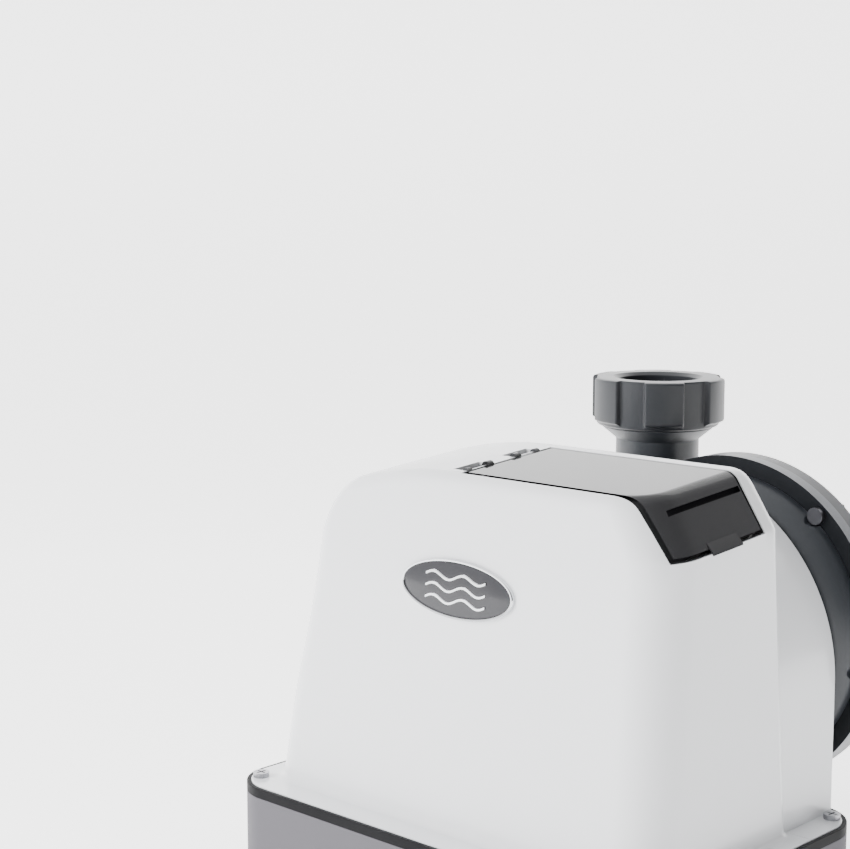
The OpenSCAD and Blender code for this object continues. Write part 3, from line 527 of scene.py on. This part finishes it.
@dataclass(frozen=True)
class HousingForm:
    """The leaning, round-cornered form that the main shell and its cover share."""

    base_h: float = 60.0
    height: float = 184.0
    left_x: float = -131.0
    right_x: float = 129.0
    front_y: float = -73.5
    rear_y: float = 45.0
    left_lean: float = 0.14
    front_lean: float = 0.063
    rear_lean: float = 0.098
    left_round: float = 26.0
    front_round: float = 7.0
    rear_round: float = 9.0
    crease_round: float = 4.0
    corner_left: float = 18.0
    corner_right: float = 24.0
    corner_rear: float = 9.0
    bevel_z: float = 155.0
    bevel_run: float = 17.0
    roof_y: float = -57.0
    roof_tilt: float = 0.078
    roof_break: float = -9.0
    roof_fall: float = 0.0022
    ease_from: float = 40.0
    ease_run: float = 110.0
    bevel_inset: float = 0.27
    fillet: float = 3.5
    corner_steps: int = 12
    side_steps: int = 14

    @property
    def roof(self) -> Matrix:
        """The tilted roof's own frame, with its origin at the cover's front edge."""
        return (Matrix.Translation((0, self.roof_y, self.base_h + self.height))
                @ Matrix.Rotation(math.atan(self.roof_tilt), 4, "X"))

    def _round(self, z: float, top: float, radius: float) -> float:
        """How far a wall comes in at height z where its top edge has this radius."""
        if z <= top - radius:
            return 0.0
        return radius - math.sqrt(max(0.0, radius ** 2 - (z - top + radius) ** 2))

    def _rise(self, x: float, y: float) -> float:
        """How far the roof stands above its front edge at a point."""
        return self.roof_tilt * (y - self.roof_y) - self.roof_fall * max(0.0, self.roof_break - x) ** 2

    def _ease(self, z: float) -> float:
        """How much of the roof's slope a level takes up, from none near the flange to all."""
        u = min(1.0, max(0.0, (z - self.ease_from) / self.ease_run))
        return u * u * (3 - 2 * u)

    def ring(self, z: float, inset: float, shrink: float = 1.0, spread: float = 0.0) -> list[Vector]:
        """One level of the walls.

        Args:
            z: height above the flange's underside.
            inset: distance inside the outer surface.
            shrink: scale of the level about its middle.
            spread: how far the level flares out.

        Returns:
            The level's points, in order.
        """
        top = self.height - inset
        x0 = self.left_x + self.left_lean * z + inset + self._round(z, top, self.left_round - inset)
        over = max(0.0, z - self.bevel_z + self.bevel_inset * inset)
        bevel = over * self.bevel_run / (self.height - self.bevel_z)
        x1 = self.right_x - inset - bevel - self._round(z, top, self.crease_round - inset)
        dip = self._round(z, top, self.front_round - inset)
        y0 = self.front_y + self.front_lean * z + inset + dip
        y1 = self.rear_y - self.rear_lean * z - inset - self._round(z, top, self.rear_round - inset)
        x0, x1, y0, y1 = x0 - spread, x1 + spread, y0 - spread, y1 + spread
        left = max(4.0, self.corner_left - inset - dip) + spread
        right = max(4.0, self.corner_right - inset - dip) + spread
        rear = max(2.0, self.corner_rear - (inset + dip) / 2) + spread
        arcs = [arc(x0 + left, y0 + left, left, 180, 270, self.corner_steps),
                arc(x1 - right, y0 + right, right, 270, 360, self.corner_steps),
                arc(x1 - rear, y1 - rear, rear, 0, 90, self.corner_steps),
                arc(x0 + rear, y1 - rear, rear, 90, 180, self.corner_steps)]
        outline = []
        for here, after in zip(arcs, arcs[1:] + arcs[:1]):
            outline += here
            start, end = Vector(here[-1]), Vector(after[0])
            outline += [tuple(start.lerp(end, k / self.side_steps)) for k in range(1, self.side_steps)]
        middle = Vector(((x0 + x1) / 2, (y0 + y1) / 2))
        points = []
        for spot in outline:
            x, y = middle + shrink * (Vector(spot) - middle)
            points.append(Vector((x, y, self.base_h + z + self._ease(z) * self._rise(x, y))))
        return points

    def solid(self, name: str, inset: float, bottom: float, flare_from: float | None = None
              ) -> bpy.types.Object:
        """The closed form.

        Args:
            name: the new object's name.
            inset: distance inside the outer surface.
            bottom: height where it starts, above the flange's underside.
            flare_from: height of the fillet's foot, or None for straight walls.

        Returns:
            The solid.
        """
        top = self.height - inset
        levels = [bottom, *range(8, 150, 6), self.bevel_z]
        for radius in (self.left_round, self.front_round, self.rear_round, self.crease_round):
            bend = radius - inset
            levels += [top - bend * (1 - math.sin(math.radians(a))) for a in range(0, 91, 9)]
        if flare_from is not None:
            levels += [flare_from + self.fillet * (1 - math.cos(math.radians(a)))
                       for a in range(0, 91, 15)]
        kept: list[float] = []
        for z in sorted(levels):
            if z >= bottom and (not kept or z - kept[-1] > 0.02):
                kept.append(z)
        rings = [self.ring(z, inset, spread=self._spread(z, flare_from)) for z in kept]
        caps = 16
        rings += [self.ring(top, inset, shrink=1 - k / caps) for k in range(1, caps)]
        mesh = bmesh.new()
        rows = [[mesh.verts.new(p) for p in ring] for ring in rings]
        count = len(rows[0])
        for low, high in zip(rows, rows[1:]):
            bridge(mesh, low, high)
        mesh.faces.new(list(reversed(rows[0])))
        centre = sum((v.co for v in rows[-1]), Vector()) / count
        centre.z = self.base_h + top + self._rise(centre.x, centre.y)
        hub = mesh.verts.new(centre)
        for k in range(count):
            mesh.faces.new((rows[-1][k], rows[-1][(k + 1) % count], hub))
        return piece_from(name, mesh)

    def _spread(self, z: float, foot: float | None) -> float:
        """How far the walls flare out at height z above a fillet's foot."""
        if foot is None or z >= foot + self.fillet:
            return 0.0
        if z <= foot:
            return self.fillet
        return self.fillet - math.sqrt(self.fillet ** 2 - (foot + self.fillet - z) ** 2)


@dataclass(frozen=True)
class Flange:
    """The housing's foot flange and the four screws through it."""

    length: float = 282.0
    width: float = 183.0
    corner: float = 24.0
    thickness: float = 2.5
    screw_x: float = 132.0
    screw_y: float = 79.0
    head_r: float = 4.4
    head_room: float = 0.9
    hole_r: float = 2.2

    def plate(self, name: str, z: float, y0: float, y1: float) -> bpy.types.Object:
        """The flange between two planes across Y.

        Args:
            name: the new object's name.
            z: height of its underside.
            y0: the front plane.
            y1: the rear plane.

        Returns:
            The flange's part between the planes.
        """
        plate = prism(name, rounded_rectangle(self.length, self.width, self.corner), z,
                      z + self.thickness, Matrix())
        window = block(name + "_window", (-PAST, y0, z - 5), (PAST, y1, z + 20), Matrix())
        return carve(plate, window, "INTERSECT")

    def drill(self, obj: bpy.types.Object, z: float) -> bpy.types.Object:
        """Cuts the screws' holes and the pockets for their heads out of a piece.

        Args:
            obj: the piece.
            z: height of the flange's underside.

        Returns:
            The changed piece.
        """
        for sx in (-1, 1):
            for sy in (-1, 1):
                spot = Matrix.Translation((sx * self.screw_x, sy * self.screw_y, 0))
                pocket = self.head_r + self.head_room
                top = z + self.thickness
                shape = [(0, z - 2), (self.hole_r, z - 2), (self.hole_r, top), (pocket, top),
                         (pocket, z + 20), (0, z + 20)]
                carve(obj, lathe("drill", shape, spot, 32))
        return obj


@dataclass
class Housing:
    """The white shells, their screws and the badge."""

    form: HousingForm = field(default_factory=HousingForm)
    flange: Flange = field(default_factory=Flange)
    wall: float = 3.0
    cover_x: float = -3.0
    cover_w: float = 70.0
    hinge_at: tuple[float, float] = (14.0, 51.0)
    hinge_x: float = -4.5
    notch_w: float = 19.2
    arch_x0: float = -112.0
    arch_x1: float = 126.0
    arch_r: float = 100.0
    arch_h: float = 172.0
    collar_end: float = 88.0
    badge_x: float = 2.5
    badge_z: float = 126.5
    badge_w: float = 75.0
    badge_h: float = 30.0
    wave_pitch: float = 6.0

    def build(self) -> None:
        """Makes every piece of the housing."""
        self.main_shell()
        self.collar()
        self.badge()
        install(softened("rear_panel", 0.5), SATIN_WHITE, "rear_panel")
        install(softened("housing_screws", 0.25), SCREW_ZINC, "housing_screws")

    def arch(self, inset: float) -> list[tuple[float, float]]:
        """The collar's outline in X and height above the flange, inset from its outside."""
        low, high = self.arch_x0 + inset, self.arch_x1 - inset
        radius, top = self.arch_r - inset, self.arch_h - self.arch_r
        return ([(low, 0.0)] + arc(self.arch_x0 + self.arch_r, top, radius, 180, 90, 40)
                + arc(self.arch_x1 - self.arch_r, top, radius, 90, 0, 40) + [(high, 0.0)])

    def upright(self, name: str, inset: float, y0: float, y1: float, sink: float) -> bpy.types.Object:
        """The arch's outline extruded along Y.

        Args:
            name: the new object's name.
            inset: distance inside the arch's outside.
            y0: the front plane.
            y1: the rear plane.
            sink: how far below the flange it starts.

        Returns:
            The solid.
        """
        place = Matrix.Translation((0, 0, self.form.base_h)) @ Matrix.Rotation(math.pi / 2, 4, "X")
        outline = self.arch(inset)
        outline[0] = (outline[0][0], -sink)
        outline[-1] = (outline[-1][0], -sink)
        return prism(name, outline, -y1, -y0, place)

    def main_shell(self) -> None:
        """The main shell, with its fillet, cover opening, hinge notches and the archway at its back."""
        form, z = self.form, self.form.base_h
        shell = form.solid("main_shell", 0.0, 0.6, flare_from=self.flange.thickness)
        carve(shell, self.flange.plate("foot", z, -150, form.rear_y), "UNION")
        carve(shell, form.solid("hollow", self.wall, -2.0))
        carve(shell, block("opening", (self.cover_x, 0, form.bevel_z - form.height),
                           (260, self.cover_w, 80), form.roof))
        for y in self.hinge_at:
            carve(shell, block("notch", (self.hinge_x - 8, y - self.notch_w / 2, -10),
                               (self.hinge_x + 6, y + self.notch_w / 2, 20), form.roof))
        carve(shell, self.upright("archway", self.wall, 0, form.rear_y + 20, 5))
        self.flange.drill(shell, z)
        round_edges(shell, 0.7, 3, angle=40, smooth=40)
        install(shell, WHITE_SHELL, "housing_shell")

    def collar(self) -> None:
        """The arch-shaped rear shell, which starts at the main shell's leaning back."""
        form, z = self.form, self.form.base_h
        shell = self.upright("rear_arch", 0.0, form.rear_y - 36, self.collar_end, 0)
        carve(shell, self.flange.plate("heel", z, form.rear_y + 0.2, 150), "UNION")
        carve(shell, self.upright("tunnel", self.wall, -60, 150, 5))
        carve(shell, form.solid("fit", -0.2, -2.0))
        lean = Matrix.Translation((0, form.rear_y - 7, z + 3)) @ Matrix.Rotation(
            math.atan(form.rear_lean), 4, "X")
        carve(shell, block("front", (-PAST, -100, 0), (PAST, 0, 300), lean))
        carve(shell, block("step", (-PAST, -60, z - 5), (PAST, form.rear_y + 0.2, z + 2.7), Matrix()))
        self.flange.drill(shell, z)
        round_edges(shell, 1.0, 3, angle=40, smooth=40)
        install(shell, WHITE_SHELL, "rear_collar")

    def on_badge(self) -> Matrix:
        """The badge's frame: X along it, Y up it, Z out of the wall."""
        form = self.form
        y = form.front_y + form.front_lean * self.badge_z
        lean = math.pi / 2 - math.atan(form.front_lean)
        return (Matrix.Translation((self.badge_x, y, form.base_h + self.badge_z))
                @ Matrix.Rotation(lean, 4, "X"))

    def oval(self, shrink: float, steps: int = 96) -> list[tuple[float, float]]:
        """The badge's outline, shrunk by a width all round."""
        a, b = self.badge_w / 2 - shrink, self.badge_h / 2 - shrink
        return [(a * math.cos(2 * math.pi * k / steps), b * math.sin(2 * math.pi * k / steps))
                for k in range(steps)]

    def badge(self) -> None:
        """The crowned oval badge, its bright rim and three raised waves."""
        place = self.on_badge()
        mesh = bmesh.new()
        shrinks = [(1.5, -0.5), (1.5, 1.2)] + [(1.5 + 13.0 * u, 1.2 + 0.9 * (2 * u - u * u))
                                               for u in (0.1, 0.25, 0.45, 0.7, 1.0)]
        rows = [[mesh.verts.new((x, y, height)) for x, y in self.oval(shrink)]
                for shrink, height in shrinks]
        for low, high in zip(rows, rows[1:]):
            bridge(mesh, low, high)
        mesh.faces.new(rows[0])
        mesh.faces.new(rows[-1])
        bmesh.ops.transform(mesh, matrix=place, verts=mesh.verts)
        install(round_edges(piece_from("badge_plate", mesh), 0.3), BADGE_BLACK, "badge")
        self.badge_rim(place)

    def badge_rim(self, place: Matrix) -> None:
        """The rim and the waves, as one bright piece.

        Args:
            place: the badge's frame.
        """
        mesh = bmesh.new()
        section = [(1.6, -0.5), (1.6, 1.4), (1.2, 1.95), (0.6, 2.0), (0.15, 1.6), (0.0, 1.0), (0.0, -0.5)]
        rows = [[mesh.verts.new((x, y, height)) for x, y in self.oval(shrink)]
                for shrink, height in section]
        for low, high in zip(rows, rows[1:] + rows[:1]):
            bridge(mesh, low, high)
        for row in (-1, 0, 1):
            self.wave(mesh, self.wave_pitch * row)
        bmesh.ops.transform(mesh, matrix=place, verts=mesh.verts)
        install(round_edges(piece_from("badge_rim", mesh), 0.0), BADGE_SILVER, "badge_trim")

    def wave(self, mesh: bmesh.types.BMesh, middle: float) -> None:
        """Adds one raised wave with a rounded back.

        Args:
            mesh: the mesh that takes it.
            middle: its height on the badge.
        """
        length, swing, half, steps = 40.0, 1.6, 0.9, 48
        section = [(-half, 1.9), (-0.6 * half, 2.45), (0.6 * half, 2.45), (half, 1.9)]
        rows = []
        for k in range(steps + 1):
            u = k / steps
            x = length * (u - 0.5)
            y = middle + swing * math.sin(4 * math.pi * u)
            rows.append([mesh.verts.new((x, y + across, up)) for across, up in section])
        for here, after in zip(rows, rows[1:]):
            bridge(mesh, here, after)
        mesh.faces.new(rows[0])
        mesh.faces.new(rows[-1])


@dataclass
class Base:
    """The tray under the housing, its seal and its feet."""

    def build(self) -> None:
        """Makes every piece of the base."""
        install(softened("base_tray", 1.2, steps=3), BASE_GREY, "base_tray")
        install(softened("rim_seal", 0.5), SEAL_BLACK, "rim_seal")
        install(softened("rubber_feet", 0.8), SEAL_BLACK, "rubber_feet")


# ---- Control end ----


@dataclass
class ControlEnd:
    """The smoke-black cover and the well of buttons, lamps and display under it."""

    form: HousingForm = field(default_factory=HousingForm)
    thickness: float = 2.6
    gap: float = 0.6
    cover_x: float = -3.0
    cover_w: float = 70.0
    hinge_x: float = -4.5
    hinge_z: float = -1.2
    hinge_r: float = 2.4
    knuckle_w: float = 12.0
    lug_w: float = 3.0
    pin_r: float = 1.25
    groove_at: float = 8.8
    groove_half: float = 1.5
    groove_deep: float = 1.2
    border_w: float = 1.7
    border_deep: float = 0.3
    lip_y: float = 49.0
    lip_w: float = 24.0
    hinge_at: tuple[float, float] = (14.0, 51.0)

    def build(self) -> None:
        """Makes the cover and everything below it."""
        self.cover()
        install(softened("control_panel", 0.3), WELL_GREY, "control_panel")
        for node, finish in (("power_button", KEY_RED), ("timer_button", KEY_GREY),
                             ("boost_button", KEY_GREY), ("lock_button", KEY_GREY)):
            install(softened(node, 0.5, steps=3), finish, node)
        install(softened("display_lens", 0.2), LENS_TINT, "display_lens")
        for node, finish in (("display_module", DISPLAY_BODY), ("cover_hinge_pins", PIN_STEEL),
                             ("status_leds", LAMP_GREEN), ("control_board", BOARD_GREEN),
                             ("tact_switches", SWITCH_BLACK)):
            repaint(node, finish)

    def slope(self, along: float) -> Matrix:
        """A frame on the cover's sloping end.

        Args:
            along: distance down the slope from the crease.

        Returns:
            The frame: X down the slope, Y across it, Z out of it.
        """
        drop = self.form.height - self.form.bevel_z
        angle = math.atan2(drop, self.form.bevel_run)
        crease = self.form.right_x - self.form.bevel_run
        return (self.form.roof @ Matrix.Translation((crease, 0, 0)) @ Matrix.Rotation(angle, 4, "Y")
                @ Matrix.Translation((along, 0, 0)))

    def cover(self) -> None:
        """The flip-up cover with its groove, finger tab and hinge knuckles."""
        form = self.form
        low = form.bevel_z - form.height + self.gap
        cover = block("flip_up_cover", (self.cover_x + self.gap, self.gap, low),
                      (260, self.cover_w - self.gap, 80), form.roof)
        carve(cover, form.solid("outside", 0.0, 90.0), "INTERSECT")
        carve(cover, form.solid("inside", self.thickness, 60.0))
        for y in self.hinge_at:
            self.knuckle(cover, y)
        self.finger_lip(cover)
        # Slot 1 is near black: painted shade in the groove, and the black edge with painted gap shadow on
        # the border and the rounded edges.
        for finish in (SMOKE_BLACK, SHADE_AND_EDGE_BLACK):
            cover.data.materials.append(finish.material())
        groove = block("groove", (-self.groove_half, 4.0, -self.groove_deep),
                       (self.groove_half, self.cover_w - 3.0, 3.0), self.slope(self.groove_at))
        # The groove's faces carry painted shade; the border's faces carry the black edge and painted gap
        # shadow.
        for tool in (groove, self.border()):
            for finish in (SMOKE_BLACK, SHADE_AND_EDGE_BLACK):
                tool.data.materials.append(finish.material())
            for face in tool.data.polygons:
                face.material_index = 1
            carve(cover, tool)
        # The roundings take slot 1 as well: black edge with painted gap shadow.
        round_edges(cover, 0.5, 2, angle=40, smooth=40, edge_slot=1)
        install(cover, SMOKE_BLACK, "flip_cover")

    def border(self) -> bpy.types.Object:
        """A thin skin round the cover's outline, which is cut away as its border and dressed near black:
        the cover's black edge together with painted shadow in the gap round it.
        """
        form, width = self.form, self.gap + self.border_w
        skin = form.solid("border_skin", -0.2, 80.0)
        carve(skin, form.solid("under_skin", self.border_deep, 60.0))
        inner = block("window", (self.cover_x + width, width, form.bevel_z - form.height + width),
                      (260, self.cover_w - width, 80), form.roof)
        return carve(skin, inner)

    def finger_lip(self, cover: bpy.types.Object) -> None:
        """Adds the lip under the sloping end that a finger lifts."""
        outline = [(28.0, -0.8), (31.8, -0.8), (32.6, 0.45), (34.8, 0.45), (34.8, 1.0), (33.5, 1.3),
                   (28.0, 0.2)]
        turn = Matrix.Translation((0, self.lip_y, 0)) @ Matrix.Rotation(math.pi / 2, 4, "X")
        carve(cover, prism("lip", outline, 0.0, self.lip_w, self.slope(0) @ turn), "UNION")

    def knuckle(self, cover: bpy.types.Object, y: float) -> None:
        """Adds one hinge knuckle and clears its lugs.

        Args:
            cover: the cover.
            y: the knuckle's middle, across the cover.
        """
        form = self.form
        turn = form.roof @ Matrix.Translation((self.hinge_x, y, self.hinge_z)) @ Matrix.Rotation(
            -math.pi / 2, 4, "X")
        half = self.knuckle_w / 2
        barrel = [(0, -half), (self.hinge_r, -half), (self.hinge_r, half), (0, half)]
        carve(cover, lathe("barrel", barrel, turn, 32), "UNION")
        web = block("web", (self.hinge_x, y - half, -self.hinge_r), (self.hinge_x + 6, y + half, -0.3),
                    form.roof)
        carve(cover, web, "UNION")
        carve(cover, lathe("pin_hole", [(0, -20), (self.pin_r, -20), (self.pin_r, 20), (0, 20)], turn, 32))
        for side in (-1, 1):
            middle = side * (half + self.gap / 2 + self.lug_w / 2)
            reach = self.lug_w / 2 + self.gap / 2
            room = self.hinge_r + self.gap
            relief = [(0, middle - reach), (room, middle - reach), (room, middle + reach),
                      (0, middle + reach)]
            carve(cover, lathe("relief", relief, turn, 32))


# ---- Inside, motor and wet end ----


@dataclass
class PowerBay:
    """The electronics on the tray's floor and the gland for the mains cord."""

    finishes: dict[str, Finish] = field(default_factory=lambda: {
        "power_board": BOARD_GREEN, "transformer_core": LAMINATED, "transformer_coil": ENAMELLED,
        "filter_capacitors": SLEEVE_BLUE, "relays": RELAY_BLUE, "heat_sink": EXTRUDED,
        "panel_ribbon": RIBBON_GREY})

    def build(self) -> None:
        """Dresses the electronics, rounds the gland and shades the cell's leads smooth."""
        for node, finish in self.finishes.items():
            repaint(node, finish)
        install(softened("cell_leads", 0.0), LEAD_BLACK, "cell_leads")
        install(softened("cord_gland", 0.6), GLAND_BLACK, "cord_gland")


@dataclass
class Motor:
    """The motor that drives the wet end."""

    finishes: dict[str, Finish] = field(default_factory=lambda: {
        "motor_can": MOTOR_ENAMEL, "stator_core": LAMINATED, "stator_windings": ENAMELLED,
        "drive_end_bell": CAST_ALLOY, "fan_end_bell": CAST_ALLOY, "motor_bearings": GROUND_STEEL,
        "rotor_core": ROTOR_STEEL, "motor_shaft": GROUND_STEEL, "cooling_fan": FAN_BLACK,
        "fan_cowl": FAN_BLACK, "motor_cradle": POWDER_GREY, "motor_strap": GROUND_STEEL,
        "motor_bolts": BOLT_ZINC})

    def build(self) -> None:
        """Dresses the motor's pieces, whose shapes stay as designed."""
        for node, finish in self.finishes.items():
            repaint(node, finish)


@dataclass
class WetEnd:
    """Seal plate, casing, unions, electrode cell and flow sensor."""

    motor_x: float = 49.0
    motor_z: float = 149.0
    rim_r: float = 91.0
    plate_y: float = 112.0
    outlet: Point = (-37.0, 153.0, 245.0)
    suction_y: float = 173.5
    nut_h: float = 28.5
    nut_r: float = 36.0
    lobe_r: float = 39.3
    bore_r: float = 30.68
    mouth_r: float = 24.0
    lobe_from: float = 12.0
    lobe_pitch: float = 60.0
    lobe_half: float = 18.5
    lobe_ramp: float = 2.0
    # Depth of the front-face band that takes painted shade.
    shade_band_deep: float = 8.6

    def build(self) -> None:
        """Makes and dresses every piece of the wet end."""
        self.seal_plate()
        install(softened("pump_casing", 0.8), WET_END, "pump_casing")
        outlet = Matrix.Translation(self.outlet)
        self.union_nut("outlet_union_nut", outlet, "outlet_nut")
        suction = Matrix.Translation((self.motor_x, self.suction_y, self.motor_z)) @ Matrix.Rotation(
            -math.pi / 2, 4, "X")
        self.union_nut("suction_union_nut", suction, "suction_nut")
        for node, width, finish in (("casing_bolts", 0.4, BOLT_ZINC), ("drain_plug", 0.6, GLAND_BLACK),
                                    ("cell_cap", 0.7, GLAND_BLACK), ("flow_sensor", 0.5, GLAND_BLACK)):
            install(softened(node, width), finish, node)
        for node, finish in (("shaft_seal", GROUND_STEEL), ("impeller", IMPELLER_GREY),
                             ("casing_oring", SEAL_BLACK), ("port_seals", SEAL_BLACK),
                             ("electrode_plates", COATED_TITANIUM), ("electrode_frame", CELL_WHITE),
                             ("cell_studs", STUD_BRASS), ("flow_paddle", PADDLE_CREAM)):
            repaint(node, finish)

    def seal_plate(self) -> None:
        """The domed plate between motor and casing, with its bolt bosses, a band of painted shade on its
        front face and a painted highlight on its rim.
        """
        plate = softened("seal_plate", 0.8, "domed_seal_plate", steps=3)
        for finish in (WET_END, WET_FACE_SHADE, WET_RIM_HIGHLIGHT):
            plate.data.materials.append(finish.material())
        for face in plate.data.polygons:
            points = [plate.data.vertices[k].co / MM for k in face.vertices]
            inner = min(math.hypot(p.x - self.motor_x, p.z - self.motor_z) for p in points)
            # Rim faces take the lighter copy, a painted highlight; front-facing faces near the plate's
            # front take the darker copy, painted shade.
            if inner > self.rim_r - 1.0:
                face.material_index = 2
            elif face.normal.y < -0.9 and min(p.y for p in points) > self.plate_y - self.shade_band_deep:
                face.material_index = 1
        install(plate, WET_END, "seal_plate")

    def union_nut(self, name: str, place: Matrix, node: str) -> None:
        """A union nut with six broad grip lobes and a rolled mouth.

        Args:
            name: the new object's name.
            place: its frame, with Z out of the port.
            node: the CAD node that it stands for.
        """
        mesh = bmesh.new()
        steps = 360
        levels = [(0.0, 0.97, 0.0), (1.0, 1.0, 0.0), (2.2, 1.0, 0.1), (3.4, 1.0, 0.9), (4.4, 1.0, 1.0),
                  (self.nut_h - 1.6, 1.0, 1.0), (self.nut_h - 0.5, 1.0, 0.85), (self.nut_h, 0.99, 0.6)]
        rows = []
        for height, size, lobe in levels:
            row = []
            for k in range(steps):
                angle = 2 * math.pi * k / steps
                radius = self.nut_r * size + self.grip(math.degrees(angle)) * lobe
                row.append(mesh.verts.new((radius * math.cos(angle), radius * math.sin(angle), height)))
            rows.append(row)
        inner = [(self.mouth_r + 2.5, self.nut_h), (self.mouth_r, self.nut_h - 2.0),
                 (self.mouth_r, self.nut_h - 6.0), (self.bore_r, self.nut_h - 6.0), (self.bore_r, 0.0)]
        rows += [circle(mesh, radius, height, steps) for radius, height in inner]
        for low, high in zip(rows, rows[1:] + rows[:1]):
            bridge(mesh, low, high)
        bmesh.ops.transform(mesh, matrix=place, verts=mesh.verts)
        install(round_edges(piece_from(name, mesh), 0.5, 2, angle=30), UNION_GREY, node)

    def grip(self, angle: float) -> float:
        """Height of the grip lobes at an angle in degrees, from none between them."""
        half = self.lobe_pitch / 2
        turn = (angle - self.lobe_from + half) % self.lobe_pitch - half
        u = min(1.0, max(0.0, (self.lobe_half - abs(turn)) / self.lobe_ramp))
        return (self.lobe_r - self.nut_r) * u * u * (3 - 2 * u)


# ---- Studio ----


@dataclass
class Studio:
    """The camera, the pale sweep and the soft lights."""

    eye: Point = (605.5, -724.1, 389.7)
    pitch: float = 82.335
    heading: float = 43.53
    lens: float = 77.5
    sweep_back: float = 900.0
    key_spot: Point = (-700.0, -1100.0, 800.0)
    key_size: float = 900.0
    key_power: float = 32.0
    aim_height: float = 150.0

    def build(self) -> None:
        """Sets the camera, the sweep, the sky and the lights."""
        self.camera()
        self.sweep()
        self.sky()
        self.soft_box("key", self.key_spot, self.key_size, self.key_power)

    def camera(self) -> None:
        """A long lens a little above the roof, at the housing's front right corner."""
        data = bpy.data.cameras.new("camera")
        data.lens = self.lens
        data.sensor_width = 36.0
        data.clip_start = 0.01
        camera = bpy.data.objects.new("camera", data)
        camera.location = Vector(self.eye) * MM
        camera.rotation_euler = Euler((math.radians(self.pitch), 0, math.radians(self.heading)))
        bpy.context.scene.collection.objects.link(camera)
        bpy.context.scene.camera = camera

    def sweep(self) -> None:
        """A pale floor that curves up behind the object."""
        bend, reach, side = 500.0, 2600.0, 3000.0
        profile = [(-reach, 0.0), (0.0, 0.0), (self.sweep_back, 0.0)]
        profile += [(self.sweep_back + bend * math.sin(math.radians(a)),
                     bend * (1 - math.cos(math.radians(a)))) for a in range(6, 91, 6)]
        profile.append((self.sweep_back + bend, 2400.0))
        mesh = bmesh.new()
        rows = [[mesh.verts.new((side * s, y, z)) for s in (-1, 1)] for y, z in profile]
        for here, after in zip(rows, rows[1:]):
            mesh.faces.new((here[0], here[1], after[1], after[0]))
        turn = Matrix.Rotation(math.radians(self.heading), 4, "Z")
        bmesh.ops.transform(mesh, matrix=turn, verts=mesh.verts)
        floor = piece_from("studio_sweep", mesh)
        floor.data.shade_smooth()
        floor.data.materials.append(STUDIO_PALE.material())

    def sky(self) -> None:
        """An even white surround that dims towards the right-hand side."""
        world = bpy.data.worlds.new("surround")
        bpy.context.scene.world = world
        world.use_nodes = True
        tree = world.node_tree
        place = tree.nodes.new("ShaderNodeTexCoord")
        split = tree.nodes.new("ShaderNodeSeparateXYZ")
        level = tree.nodes.new("ShaderNodeMapRange")
        level.interpolation_type = "SMOOTHSTEP"
        level.inputs["From Min"].default_value = -0.3
        level.inputs["From Max"].default_value = 0.9
        level.inputs["To Min"].default_value = 1.9
        level.inputs["To Max"].default_value = 0.3
        tree.links.new(place.outputs["Generated"], split.inputs[0])
        tree.links.new(split.outputs["X"], level.inputs["Value"])
        tree.links.new(level.outputs["Result"], tree.nodes["Background"].inputs["Strength"])
        tree.nodes["Background"].inputs["Color"].default_value = (1, 1, 1, 1)

    def soft_box(self, name: str, spot: Point, size: float, power: float) -> None:
        """A square area light aimed at the housing.

        Args:
            name: the light's name.
            spot: where it stands.
            size: its width in millimetres.
            power: its power in watts.
        """
        data = bpy.data.lights.new(name, "AREA")
        data.size = size * MM
        data.energy = power
        light = bpy.data.objects.new(name, data)
        light.location = Vector(spot) * MM
        aim = Vector((0, 0, self.aim_height)) - Vector(spot)
        light.rotation_euler = aim.to_track_quat("-Z", "Y").to_euler()
        light.visible_glossy = False
        bpy.context.scene.collection.objects.link(light)


def main() -> None:
    """Builds the studio, then each sub-assembly."""
    logging.basicConfig(level=logging.INFO, format="%(name)s: %(message)s")
    for part in (Studio(), Base(), Housing(), ControlEnd(), PowerBay(), Motor(), WetEnd()):
        part.build()
        LOG.info("%s is built", type(part).__name__)


if __name__ == "__main__":
    main()
